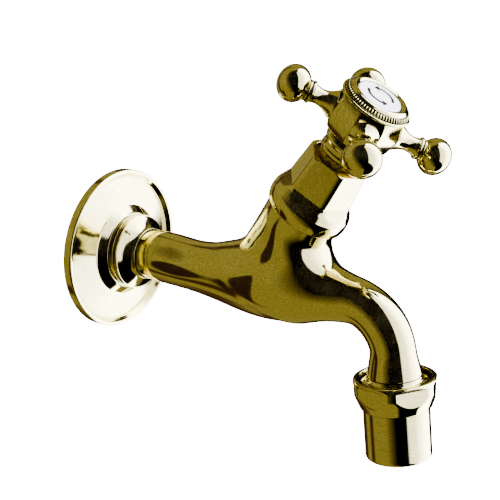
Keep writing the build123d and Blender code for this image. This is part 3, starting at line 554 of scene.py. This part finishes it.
# %% The run of the water
def smooth_curve(at, known_at, known):
    """Values of the natural cubic spline through known values."""
    known_at, known = np.array(known_at, float), np.array(known, float)
    gap, n = np.diff(known_at), len(known_at)
    matrix, target = np.eye(n), np.zeros(n)
    for i in range(1, n - 1):
        matrix[i, i - 1:i + 2] = gap[i - 1], 2 * (gap[i - 1] + gap[i]), gap[i]
        target[i] = 6 * ((known[i + 1] - known[i]) / gap[i] - (known[i] - known[i - 1]) / gap[i - 1])
    bend = np.linalg.solve(matrix, target)
    i = np.clip(np.searchsorted(known_at, at) - 1, 0, n - 2)
    a, b = (known_at[i + 1] - at) / gap[i], (at - known_at[i]) / gap[i]
    curved = ((a**3 - a) * bend[i] + (b**3 - b) * bend[i + 1]) * gap[i] ** 2 / 6
    return a * known[i] + b * known[i + 1] + curved


spout_slope = math.radians(4.5)
bend_radius, bend_turn = 19.5, math.radians(90 - 5.6 - 4.5)
bend_start = np.array([110.50, -1.60])
bend_centre = bend_start - bend_radius * np.array([math.sin(spout_slope), math.cos(spout_slope)])
tail_at = [2.0, 9.0, 16.2, 25.9, 39.9, 58.85, 75.0, 87.0, 97.8, 105.5, 110.5]
tail_drop = [0.0, 0.0, 0.0, -0.1, -0.95, -1.05, -0.9, -0.65, -0.6, -1.2, -1.6]
tail_x = np.arange(2.0, 110.5, 0.4)
straight = np.stack([tail_x, smooth_curve(tail_x, tail_at, tail_drop)], axis=1)
turned = spout_slope + bend_turn * np.linspace(0, 1, 70)
arc = bend_centre + bend_radius * np.stack([np.sin(turned), np.cos(turned)], axis=1)
foot_of_bend = arc[-1]
down = np.array([math.sin(nozzle_lean), -math.cos(nozzle_lean)])
spout_reach = 28.0
drop_left = spout_reach - float((foot_of_bend - np.array([nozzle_x, 0.0])) @ down)
plumb = foot_of_bend + down * np.arange(0.4, drop_left, 0.4)[:, None]
run = np.concatenate([straight, arc, plumb])
run_length = np.concatenate([[0], np.cumsum(np.hypot(*np.diff(run, axis=0).T))])
run_end = run_length[-1]
arc_at = run_length[len(straight)]
known_length = list(np.interp(tail_at, run[:len(straight) + 1, 0], run_length[:len(straight) + 1]))
known_length += [arc_at + 9, arc_at + 18, run_end - 7.5, run_end - 4.5, run_end]
known_radius = [9.7, 9.7, 9.75, 10.2, 10.1, 12.25, 14.4, 13.7, 11.5, 9.7, 8.9, 8.5, 8.5, 8.65, 9.2, 10.1]
run_radius = smooth_curve(run_length, known_length, known_radius)
print("run of the water", round(run_end, 1), "mm long")
print("its radius goes from", run_radius.min().round(2), "to", run_radius.max().round(2))

# %% The column, and the rounded union
column_floor = -1.0
column_at = [-4.0, 1.5, 6.0, 13.0, 20.0, 24.5, 28.0, 31.5, 35.2]
column_rear = [19.15, 16.55, 14.55, 13.95, 13.85, 13.85, 13.85, 13.85, 13.85]
column_front = [20.15, 23.15, 24.75, 24.95, 22.75, 18.15, 14.75, 13.85, 13.85]
column_side = [11.65, 12.75, 13.45, 13.75, 13.85, 13.85, 13.85, 13.85, 13.85]
print("column of", len(column_at), "ovals")


def run_skin(points):
    """Distance to the tube's skin and its direction, for points in millimetres."""
    gaps, ways = np.empty(len(points)), np.empty((len(points), 3))
    line = np.stack([run[:, 0], np.zeros(len(run)), run[:, 1]], axis=1)
    tangent = np.gradient(line, run_length, axis=0)
    taper = np.gradient(run_radius, run_length)
    for start in range(0, len(points), 6000):
        some = points[start:start + 6000]
        far = np.sqrt(((some[:, None, :] - line[None]) ** 2).sum(2))
        nearest = (far - run_radius[None]).argmin(1)
        reach = far[np.arange(len(some)), nearest]
        slide = ((some - line[nearest]) * tangent[nearest]).sum(1) + taper[nearest] * reach
        slide = np.clip(slide, -0.5, 0.5)
        centre = line[nearest] + tangent[nearest] * slide[:, None]
        away = some - centre
        length = np.sqrt((away**2).sum(1))
        gaps[start:start + 6000] = length - run_radius[nearest] - taper[nearest] * slide
        ways[start:start + 6000] = away / length[:, None]
    return gaps, ways


def column_gap(points):
    """Distance to the column's skin, for points in millimetres."""
    foot, across, side, along = valve_axis
    height = np.clip((points - foot) @ along, column_at[0], column_at[-1])
    rear = smooth_curve(height, column_at, column_rear)
    front = smooth_curve(height, column_at, column_front)
    half = smooth_curve(height, column_at, column_side)
    reach, middle = (front + rear) / 2, (front - rear) / 2
    over = ((points - foot) @ across - middle) / reach
    wide = (points @ side) / half
    gap = (np.sqrt(over**2 + wide**2) - 1) * half
    below = column_floor - (points - foot) @ along
    return -smallest(-gap, -below, 3.0)


def casting_skin(points, fillet=5.0):
    """Distance to the casting's skin and its direction: tube and column, with a rounded join."""
    tube, tube_way = run_skin(points)
    column = column_gap(points)
    column_way = np.stack([
        column_gap(points + np.eye(3)[i] * 0.01) - column_gap(points - np.eye(3)[i] * 0.01) for i in range(3)
    ], axis=1) / 0.02
    share = np.clip(0.5 + 0.5 * (column - tube) / fillet, 0, 1)
    gap = column * (1 - share) + tube * share - fillet * share * (1 - share)
    return gap, tube_way * share[:, None] + column_way * (1 - share)[:, None]


# %% Clay for the casting
def stacked(rings):
    """A closed shell from rings of corners, with a flat cap at each end."""
    rings = np.asarray(rings)
    count, around = rings.shape[:2]
    corners = rings.reshape(-1, 3)
    faces = []
    for low in range(0, (count - 1) * around, around):
        high = low + around
        for here in range(around):
            after = (here + 1) % around
            faces.append([low + here, low + after, high + after, high + here])
    faces.append(list(range(around - 1, -1, -1)))
    faces.append(list(range((count - 1) * around, count * around)))
    return corners, faces


turn = np.linspace(0, 2 * math.pi, 64, endpoint=False)
run_tangent = np.gradient(run, run_length, axis=0)
rings = []
for (x, z), (tx, tz), radius in zip(run[::3], run_tangent[::3], run_radius[::3]):
    upward = np.array([-tz, 0, tx])
    rings.append(np.array([x, 0, z]) + radius * (
        np.cos(turn)[:, None] * np.array([0, 1, 0]) + np.sin(turn)[:, None] * upward
    ))
tube_shell = stacked(rings)
rings = []
for height in np.arange(-2.0, 35.3, 0.93):
    rear = smooth_curve(height, column_at, column_rear)
    front = smooth_curve(height, column_at, column_front)
    half = smooth_curve(height, column_at, column_side)
    foot, across, side, along = valve_axis
    rings.append(foot + along * height + across * (front - rear) / 2 + (
        np.cos(turn)[:, None] * across * (front + rear) / 2 + np.sin(turn)[:, None] * side * half
    ))
column_shell = stacked(rings)
clay = new_piece("clay", *join_shells(tube_shell, column_shell), brass_cast)
remesh = clay.modifiers.new("clay", "REMESH")
remesh.mode = "VOXEL"
remesh.voxel_size = 0.5 * MM
clay_mesh = bpy.data.meshes.new_from_object(clay.evaluated_get(bpy.context.evaluated_depsgraph_get()))
bpy.data.objects.remove(clay)
print("clay has", len(clay_mesh.vertices), "points")

# %% Draw the clay onto the skin
points = np.zeros(len(clay_mesh.vertices) * 3)
clay_mesh.vertices.foreach_get("co", points)
points = points.reshape(-1, 3) / MM
edges = np.zeros(len(clay_mesh.edges) * 2, np.int64)
clay_mesh.edges.foreach_get("vertices", edges)
edges = edges.reshape(-1, 2)
neighbours = np.bincount(edges.ravel(), minlength=len(points))[:, None]
heights = (points - valve_axis[0]) @ valve_axis[3]
free = (points[:, 0] > 3.5) & (heights < 34.0)
free &= (points - nozzle_axis[0]) @ nozzle_axis[3] < 27.4
for round_number in range(9):
    total = np.zeros_like(points)
    for i in range(3):
        total[:, i] = np.bincount(edges[:, 0], points[edges[:, 1], i], len(points))
        total[:, i] += np.bincount(edges[:, 1], points[edges[:, 0], i], len(points))
    average = total / neighbours
    if round_number < 6:
        points[free] += 0.6 * (average - points)[free]
    gap, way = casting_skin(points[free])
    points[free] -= way * (gap / (way**2).sum(1))[:, None]
gap, way = casting_skin(points[free])
print("skin fits to", round(float(np.abs(gap).max()), 4), "mm")
clay_mesh.vertices.foreach_set("co", (points * MM).ravel())
skin_shell = (points, [list(face.vertices) for face in clay_mesh.polygons])

# %% [markdown]
# The threaded tail and the collar under the spout are turned after casting, so they are turned
# here as well and join the same piece. The tail is open to the wall.

# %% Tail and collar
tail_profile = softened(
    (6.0, 14.0), (6.0, -12.0, 0.3), (8.9, -12.0, 0.2), (9.35, -11.4, 0.2), (9.35, -0.4, 0.2),
    (9.75, 0.6), (9.7, 14.0), (6.0, 14.0),
)
collar_profile = softened(
    (0, 26.9), (9.8, 26.9), (10.4, 28.2, 0.4), (12.5, 28.95, 0.3), (13.2, 29.6, 0.3), (13.2, 31.8), (0, 31.8),
)
tail_shell = spun(tail_profile, wall_axis, around=128)
collar_shell = spun(collar_profile, nozzle_axis, around=160)
print("tail has", len(tail_shell[1]), "faces and the collar", len(collar_shell[1]))

# %% [markdown]
# The half-inch pipe thread on the tail repeats one rib, so it is a helix made by Geometry Nodes:
# a spiral curve, swept with a small three-sided profile.

# %% Inlet thread
thread_tree, given, result = new_tree("pipe_thread", {
    "Turns": ("NodeSocketFloat", 6.0), "Radius": ("NodeSocketFloat", 9.7 * MM),
    "Length": ("NodeSocketFloat", 10.9 * MM), "Rib": ("NodeSocketFloat", 0.75 * MM),
})
spiral = add(thread_tree, "GeometryNodeCurveSpiral", {
    "Resolution": 72, "Rotations": given.outputs["Turns"], "Start Radius": given.outputs["Radius"],
    "End Radius": given.outputs["Radius"], "Height": given.outputs["Length"],
})
rib = add(thread_tree, "GeometryNodeCurvePrimitiveCircle", {"Resolution": 3, "Radius": given.outputs["Rib"]})
level = add(thread_tree, "GeometryNodeSetCurveNormal", {"Curve": spiral.outputs["Curve"]}, mode="Z_UP")
swept = add(thread_tree, "GeometryNodeCurveToMesh", {
    "Curve": level.outputs["Curve"], "Profile Curve": rib.outputs["Curve"], "Fill Caps": True,
})
end_tree(thread_tree, result, swept.outputs["Mesh"], brass_cast)
pipe_pitch, thread_length, thread_start = 1.814, 10.0, -11.1
thread_mesh = run_tree(thread_tree, "pipe_thread", {
    "Turns": thread_length / pipe_pitch, "Radius": 9.7 * MM, "Length": thread_length * MM, "Rib": 0.72 * MM,
})
thread_shell = placed_shell(thread_mesh, wall_axis, thread_start)
thread_reach = np.hypot(thread_shell[0][:, 1], thread_shell[0][:, 2])
print("thread has", len(thread_shell[1]), "faces")
print("its radius goes from", thread_reach.min().round(2), "to", thread_reach.max().round(2))

# %% The whole casting
casting_shell = join_shells(skin_shell, tail_shell, collar_shell, thread_shell)
casting = new_piece("casting_skin", *casting_shell, brass_cast)
dress(casting, "casting", "polished_brass", "tap_body")

# %% [markdown]
# ## Shroud
# The shroud hides the headwork. It is turned to a bell and then milled to six faces that run out
# in an arch above its bead. The turned radius and the reach of the faces are compared at every
# point, and the smaller wins, with a rounded edge where they meet.

# %% Shroud
shroud_profile = softened(
    (14.15, 34.2), (15.0, 34.2, 0.3),
    *through((15.25, 34.6), (15.65, 36.8), (15.45, 39.2), (14.9, 40.6)),
    *through((14.2, 42.2), (13.35, 43.9), (13.0, 45.4)),
    (12.45, 51.0), (11.7, 58.6, 0.35), (11.2, 59.1, 0.3), (9.6, 59.1, 0.25), (9.6, 56.7, 0.1),
    (8.4, 56.7), (8.4, 55.5), (9.6, 55.5), (10.6, 45.0), (14.15, 40.4), (14.15, 34.2),
)


def shroud_flat(height):
    """Distance of the shroud's milled faces from the axis at each height."""
    return np.interp(height, [34.2, 40.0, 41.5, 43.0, 45.0, 59.1], [16.5, 16.2, 14.4, 12.8, 11.62, 10.42])


shroud_reach = polygon_reach(6, shroud_flat, 9.6)
shroud_shell = spun(shroud_profile, valve_axis, around=360, flats=shroud_reach, bore=9.6, blend=0.35)
shroud = new_piece("shroud", *shroud_shell, brass_milled)
dress(shroud, "casting", "polished_brass", "bonnet_shroud")

# %% [markdown]
# ## Gland nut
# Under the handle the gland nut shows as two turned beads. It presses the packing on the spindle.

# %% Gland nut
gland_profile = softened(
    (4.7, 61.6), (8.7, 61.6, 0.1), (9.0, 62.0, 0.2), (9.0, 63.2, 0.3), (8.7, 63.6, 0.1), (8.7, 65.2, 0.1),
    *through((8.8, 65.5), (9.4, 67.0), (8.8, 68.6)), (8.1, 69.2, 0.2), (4.7, 69.2, 0.1), (4.7, 61.6),
)
gland = new_piece("gland_nut_skin", *spun(gland_profile, valve_axis, around=160), brass_valve)
dress(gland, "casting", "polished_brass", "gland_nut")

# %% [markdown]
# ## Handle hub
# The hub is an eight-sided block whose faces swell in the middle like the staves of a barrel. Its
# lower edge is turned off, and a short spigot on top takes the index ring.

# %% Handle hub
hub_profile = softened(
    (3.6, 70.0), (10.3, 70.0, 0.2), (13.9, 71.4), (13.9, 84.2, 0.1), (9.5, 84.2, 0.1),
    (9.5, 86.0, 0.3), (4.8, 86.0, 0.2), (4.8, 80.3), (3.6, 80.3), (3.6, 70.0),
)


def hub_flat(height):
    """Distance of the hub's faces from the axis at each height."""
    return 12.4 - 1.4 * ((height - 77.1) / 7.1) ** 2


handle_turned, hub_sides = 31.9, 8
hub_reach = polygon_reach(hub_sides, hub_flat, handle_turned + 180 / hub_sides)
hub_shell = spun(hub_profile, valve_axis, around=384, flats=hub_reach, bore=9.5, blend=0.3)
hub = new_piece("hub", *hub_shell, brass_milled)
dress(hub, "handle", "polished_brass", "handle_hub")

# %% [markdown]
# ## Arms
# Each arm is one turning: a trumpet that leaves the hub wide, a waist, two thin rings and a ball
# that is a little flattened at its end. The same profile is turned about four axes.

# %% Arms
ball_radius, ball_half, ball_centre = 6.75, 5.9, 27.9
ball_start = math.pi - math.asin(3.7 / ball_radius)
ball_turn = np.linspace(ball_start, 0, 40)
ball = [(ball_radius * math.sin(t), ball_centre + ball_half * math.cos(t)) for t in ball_turn]
ball_foot = ball[0][1]
arm_profile = softened(
    (0, 7.8), (2.4, 7.8), (2.4, 11.65), (5.2, 11.65), (5.2, 12.6, 0.2),
    *through((4.95, 12.9), (4.05, 14.3), (3.25, 16.1), (2.95, 17.9), (3.15, 19.5), (3.45, ball_foot - 2.5)),
    (3.5, ball_foot - 2.2, 0.1), (4.2, ball_foot - 2.1, 0.35), (4.2, ball_foot - 1.15, 0.35),
    (3.35, ball_foot - 1.05, 0.1), (3.35, ball_foot - 0.75, 0.1), (3.95, ball_foot - 0.7, 0.2),
    (3.95, ball_foot - 0.15, 0.2), *ball[:-1], (0, ball_centre + ball_half),
    step=0.22,
)
foot, across, side, along = valve_axis
hub_middle = foot + along * 76.95
for arm in range(4):
    swing = math.radians(handle_turned + 90 * arm)
    outward = across * math.cos(swing) + side * math.sin(swing)
    arm_shell = spun(arm_profile, axis_of(hub_middle, along, outward), around=112)
    arm_piece = new_piece(f"arm_{arm + 1}", *arm_shell, brass_ball)
    dress(arm_piece, "handle", "polished_brass", f"handle_arm_{arm + 1}")

# %% [markdown]
# ## Index ring
# The ring that holds the porcelain has a bead below and a knurled cone for the fingers. The ring
# is turned, and Geometry Nodes set its 68 ribs round it, because they all repeat one shape. The
# real ring has more ribs, about 80 to 90, so these are a little coarse.

# %% Index ring
ring_profile = softened(
    (9.55, 84.25), (12.8, 84.25, 0.25),
    *through((13.05, 84.45), (13.2, 84.8), (13.0, 85.2)), (12.75, 85.35, 0.1),
    (12.05, 85.45), (11.05, 86.75), (11.3, 87.0, 0.2),
    *through((11.0, 87.3), (10.4, 87.85), (9.6, 88.05), (8.9, 87.85)), (8.47, 87.6, 0.1), (8.47, 86.75),
    (7.42, 86.75), (7.42, 86.05), (9.55, 86.05), (9.55, 84.25), step=0.2,
)
ring_shell = spun(ring_profile, valve_axis, around=256)
print("ring has", len(ring_shell[1]), "faces before its ribs")

# %% Knurl
rib_count, rib_length = 68, 1.6 * MM
knurl_tree, given, result = new_tree("knurl", {
    "Ribs": ("NodeSocketInt", rib_count), "Radius": ("NodeSocketFloat", 12.2 * MM),
    "Rib Width": ("NodeSocketFloat", 0.25 * MM), "Rib Length": ("NodeSocketFloat", rib_length),
    "Slope": ("NodeSocketFloat", 0.6),
})
circle = add(knurl_tree, "GeometryNodeMeshCircle", {
    "Vertices": given.outputs["Ribs"], "Radius": given.outputs["Radius"],
})
rib = add(knurl_tree, "GeometryNodeMeshCylinder", {
    "Vertices": 8, "Radius": given.outputs["Rib Width"], "Depth": given.outputs["Rib Length"],
})
tilt = add(knurl_tree, "ShaderNodeCombineXYZ", {"Y": given.outputs["Slope"]})
leaning = add(knurl_tree, "GeometryNodeTransform", {
    "Geometry": rib.outputs["Mesh"], "Rotation": tilt.outputs[0],
})
spot = add(knurl_tree, "GeometryNodeInputPosition")
facing = add(knurl_tree, "FunctionNodeAlignRotationToVector", {
    "Vector": spot.outputs[0],
}, axis="X", pivot_axis="Z")
set_ribs = add(knurl_tree, "GeometryNodeInstanceOnPoints", {
    "Points": circle.outputs["Mesh"], "Instance": leaning.outputs["Geometry"], "Rotation": facing.outputs[0],
})
end_tree(knurl_tree, result, set_ribs.outputs["Instances"], brass_valve)
# The ribs lean as the cone under them does, which narrows by 1.05 mm over 1.4 mm of height
knurl_slope = -math.atan2(12.55 - 11.5, 86.8 - 85.4)
knurl_mesh = run_tree(knurl_tree, "knurl", {
    "Ribs": rib_count, "Radius": 11.95 * MM, "Rib Width": 0.3 * MM, "Rib Length": rib_length,
    "Slope": knurl_slope,
})
knurl_shell = placed_shell(knurl_mesh, valve_axis, 86.12)
index_ring = new_piece("index_ring_skin", *join_shells(ring_shell, knurl_shell), brass_valve)
dress(index_ring, "handle", "polished_brass", "index_ring")

# %% [markdown]
# ## Porcelain disc
# The disc is a white glazed button with a slight crown. The mark fired on it is a plain pair of
# arrows that say which way the handle turns.

# %% Porcelain disc
disc_radius = 8.2
disc_profile = softened(
    (0, 86.75), (disc_radius, 86.75, 0.1), (disc_radius, 87.5, 0.15),
    *through((7.95, 87.62), (6.0, 87.75), (3.0, 87.82), (0.001, 87.85)), (0, 87.85),
)
disc = new_piece("porcelain_disc", *spun(disc_profile, valve_axis, around=160), porcelain)
dress(disc, "handle", "white_porcelain", "index_disc")


def turn_arrow(start, sweep, radius=4.7, width=1.15, head=1.7):
    """A flat curved arrow that lies on the disc's crown."""
    bend = [math.radians(start + sweep * share) for share in np.linspace(0, 0.8, 22)]
    inner = [(radius - width / 2, a) for a in bend]
    outer = [(radius + width / 2, a) for a in bend]
    tip_foot, tip = bend[-1], math.radians(start + sweep)
    rim = outer + [(radius + head, tip_foot), (radius, tip), (radius - head, tip_foot)] + inner[::-1]
    foot, across, side, along = valve_axis
    corners = []
    for reach, angle in rim:
        crown = 87.88 - 0.19 * (reach / disc_radius) ** 2
        corners.append(foot + along * crown + reach * (math.cos(angle) * across + math.sin(angle) * side))
    face = list(range(len(corners)))
    return np.array(corners), [face if sweep > 0 else face[::-1]]


arrows = new_piece("turn_arrows", *join_shells(turn_arrow(20, 140), turn_arrow(200, 140)), printed)
dress(arrows, "handle", "white_porcelain")

# %% [markdown]
# ## Union nut
# The union nut is a hexagon bar turned to a cone below and chamfered above.

# %% Union nut
nut_profile = softened(
    (13.25, 27.2), (14.55, 27.2, 0.25), (15.2, 27.6, 0.3), (15.65, 28.8, 0.5), (15.65, 32.2, 0.3),
    (13.0, 38.5, 0.3), (12.3, 38.5), (12.3, 34.5), (13.25, 34.5), (13.25, 27.2),
)[::-1]


def nut_flat(height):
    """Distance of the nut's milled faces from the axis at each height."""
    return np.interp(height, [27.2, 28.1, 28.7, 38.5], [15.4, 15.0, 14.3, 14.3])


nut_reach = polygon_reach(6, nut_flat, 8.2)
nut_shell = spun(nut_profile, nozzle_axis, around=360, flats=nut_reach, bore=13.25, blend=0.35)
nut = new_piece("union_nut_skin", *nut_shell, brass_nozzle)
dress(nut, "casting", "polished_brass", "union_nut")

# %% [markdown]
# ## Nozzle
# The nozzle is a plain turned cup. Its lip holds the insert that steadies the jet.

# %% Nozzle
nozzle_end = 57.84
nozzle_profile = softened(
    (9.4, nozzle_end), (9.4, 56.8), (10.7, 56.8), (10.7, 33.0), (13.0, 33.0), (13.0, 34.5), (12.0, 34.5),
    (12.0, 38.5), (12.2, 38.7, 0.1), (12.2, nozzle_end, 2.3), (9.4, nozzle_end), step=0.35, turns=9,
)[::-1]
nozzle = new_piece("nozzle", *spun(nozzle_profile, nozzle_axis, around=224), brass_nozzle)
dress(nozzle, "casting", "polished_brass", "outlet_nozzle")

# %% [markdown]
# ## Wire screen
# The steel mesh in the mouth of the nozzle is a rim with crossed wires. Every wire repeats one
# bar, so Geometry Nodes set the bars on a line of points and stretch each to reach the round rim.
# The wires are drawn coarser than a real mesh, so that they show.

# %% Wire screen
wire_tree, given, result = new_tree("wires", {
    "Wires": ("NodeSocketInt", 13), "Spacing": ("NodeSocketFloat", 1.7 * MM),
    "Wire": ("NodeSocketFloat", 0.17 * MM), "Reach": ("NodeSocketFloat", 10.4 * MM),
})
half_span = add(wire_tree, "ShaderNodeMath", {0: given.outputs["Wires"], 1: 1.0}, operation="SUBTRACT")
start_at = add(wire_tree, "ShaderNodeMath", {
    0: half_span.outputs[0], 1: given.outputs["Spacing"],
}, operation="MULTIPLY")
start_half = add(wire_tree, "ShaderNodeMath", {0: start_at.outputs[0], 1: -0.5}, operation="MULTIPLY")
first_wire = add(wire_tree, "ShaderNodeCombineXYZ", {"X": start_half.outputs[0]})
step_wire = add(wire_tree, "ShaderNodeCombineXYZ", {"X": given.outputs["Spacing"]})
wire_line = add(wire_tree, "GeometryNodeMeshLine", {
    "Count": given.outputs["Wires"], "Start Location": first_wire.outputs[0], "Offset": step_wire.outputs[0],
})
bar = add(wire_tree, "GeometryNodeMeshCylinder", {
    "Vertices": 8, "Radius": given.outputs["Wire"], "Depth": 1.0,
})
flat_bar = add(wire_tree, "GeometryNodeTransform", {
    "Geometry": bar.outputs["Mesh"], "Rotation": (math.pi / 2, 0, 0),
})
spot = add(wire_tree, "GeometryNodeInputPosition")
off_middle = add(wire_tree, "ShaderNodeSeparateXYZ", {"Vector": spot.outputs[0]})
reach_square = add(wire_tree, "ShaderNodeMath", {0: given.outputs["Reach"], 1: 2.0}, operation="POWER")
place_square = add(wire_tree, "ShaderNodeMath", {0: off_middle.outputs["X"], 1: 2.0}, operation="POWER")
rest_square = add(wire_tree, "ShaderNodeMath", {
    0: reach_square.outputs[0], 1: place_square.outputs[0],
}, operation="SUBTRACT")
half_bar = add(wire_tree, "ShaderNodeMath", {0: rest_square.outputs[0]}, operation="SQRT")
bar_length = add(wire_tree, "ShaderNodeMath", {0: half_bar.outputs[0], 1: 2.0}, operation="MULTIPLY")
bar_size = add(wire_tree, "ShaderNodeCombineXYZ", {"X": 1.0, "Y": bar_length.outputs[0], "Z": 1.0})
set_wires = add(wire_tree, "GeometryNodeInstanceOnPoints", {
    "Points": wire_line.outputs["Mesh"], "Instance": flat_bar.outputs["Geometry"],
    "Scale": bar_size.outputs[0],
})
end_tree(wire_tree, result, set_wires.outputs["Instances"], steel)
wires = run_tree(wire_tree, "wires", {
    "Wires": 13, "Spacing": 1.6 * MM, "Wire": 0.16 * MM, "Reach": 10.3 * MM,
})
nozzle_foot, nozzle_across, nozzle_side, nozzle_along = nozzle_axis
crossed_axis = (nozzle_foot, nozzle_side, -nozzle_across, nozzle_along)
screen_rim = softened(
    (9.7, 56.2), (10.65, 56.2, 0.15), (10.65, 56.7, 0.15), (9.7, 56.7, 0.15), (9.7, 56.2, 0.15),
)[::-1]
screen_shell = spun(screen_rim, nozzle_axis, around=96)
screen = new_piece("wire_screen", *join_shells(
    screen_shell, placed_shell(wires, nozzle_axis, 56.37), placed_shell(wires, crossed_axis, 56.56),
), steel)
dress(screen, "casting", "steel_mesh", "nozzle_screen")

# %% [markdown]
# ## Dark card
# The photograph shows a brown almond along the tail, and doesn't show what casts it. Here it is
# made by a small dark oval, a hand's width in front of the tail, where the tail's reflections go.
# Nothing but a mirror shows the oval. The belly and the column catch a little of it too.

# %% Dark card
card_way = np.array([-0.54, -0.73, -0.42])
card_way /= np.linalg.norm(card_way)
card_away, card_half_width, card_half_height = 100, 25, 58
card_middle = np.array([42.0, -10.5, -1.5]) + card_away * card_way
card_across = np.array([1.0, 0, 0]) - card_way[0] * card_way
card_across /= np.linalg.norm(card_across)
card_up = np.cross(card_across, card_way)
card_turn = np.linspace(0, 2 * math.pi, 48, endpoint=False)[:, None]
card_rim = card_middle + card_half_width * np.cos(card_turn) * card_across
# One end is blunter than the other, like an egg's, and the oval leans by 9 mm
card_rim += card_half_height * (1 + 0.3 * np.cos(card_turn)) * np.sin(card_turn) * card_up
card_rim += 9 * np.sin(card_turn) * card_across
card_cloth, card_tree = new_material("dark_card")
card_glow = add(card_tree, "ShaderNodeEmission", {"Color": (0.06, 0.035, 0.03, 1), "Strength": 1.0})
add(card_tree, "ShaderNodeOutputMaterial", {"Surface": card_glow.outputs[0]})
card = new_piece("dark_card", card_rim, [list(range(len(card_rim)))], card_cloth)
card.visible_camera = False
card.visible_diffuse = False
card.visible_shadow = False
print("dark card at", card_middle.round(0))

# %% [markdown]
# ## Floor
# The tap hangs over a plain pale surface.

# %% Floor
pale_floor, floor_tree = new_material("pale_floor")
paint = add(floor_tree, "ShaderNodeBsdfDiffuse", {"Color": linear("#f7f7f6")})
add(floor_tree, "ShaderNodeOutputMaterial", {"Surface": paint.outputs[0]})
floor_reach, floor_level = 4000, -160
floor_corners = [
    (x * floor_reach, y * floor_reach, floor_level) for x, y in ((-1, -1), (1, -1), (1, 1), (-1, 1))
]
floor = new_piece("floor", floor_corners, [[0, 1, 2, 3]], pale_floor)
floor.visible_glossy = False

# %% [markdown]
# ## Exposure
# The photograph is a hard print: its darks are black and its lights are paper. The high contrast
# look of AgX does the same.

# %% Exposure
view = bpy.context.scene.view_settings
view.view_transform = "AgX"
view.look = "AgX - High Contrast"
view.exposure = 0.0
print("shown with", view.look)
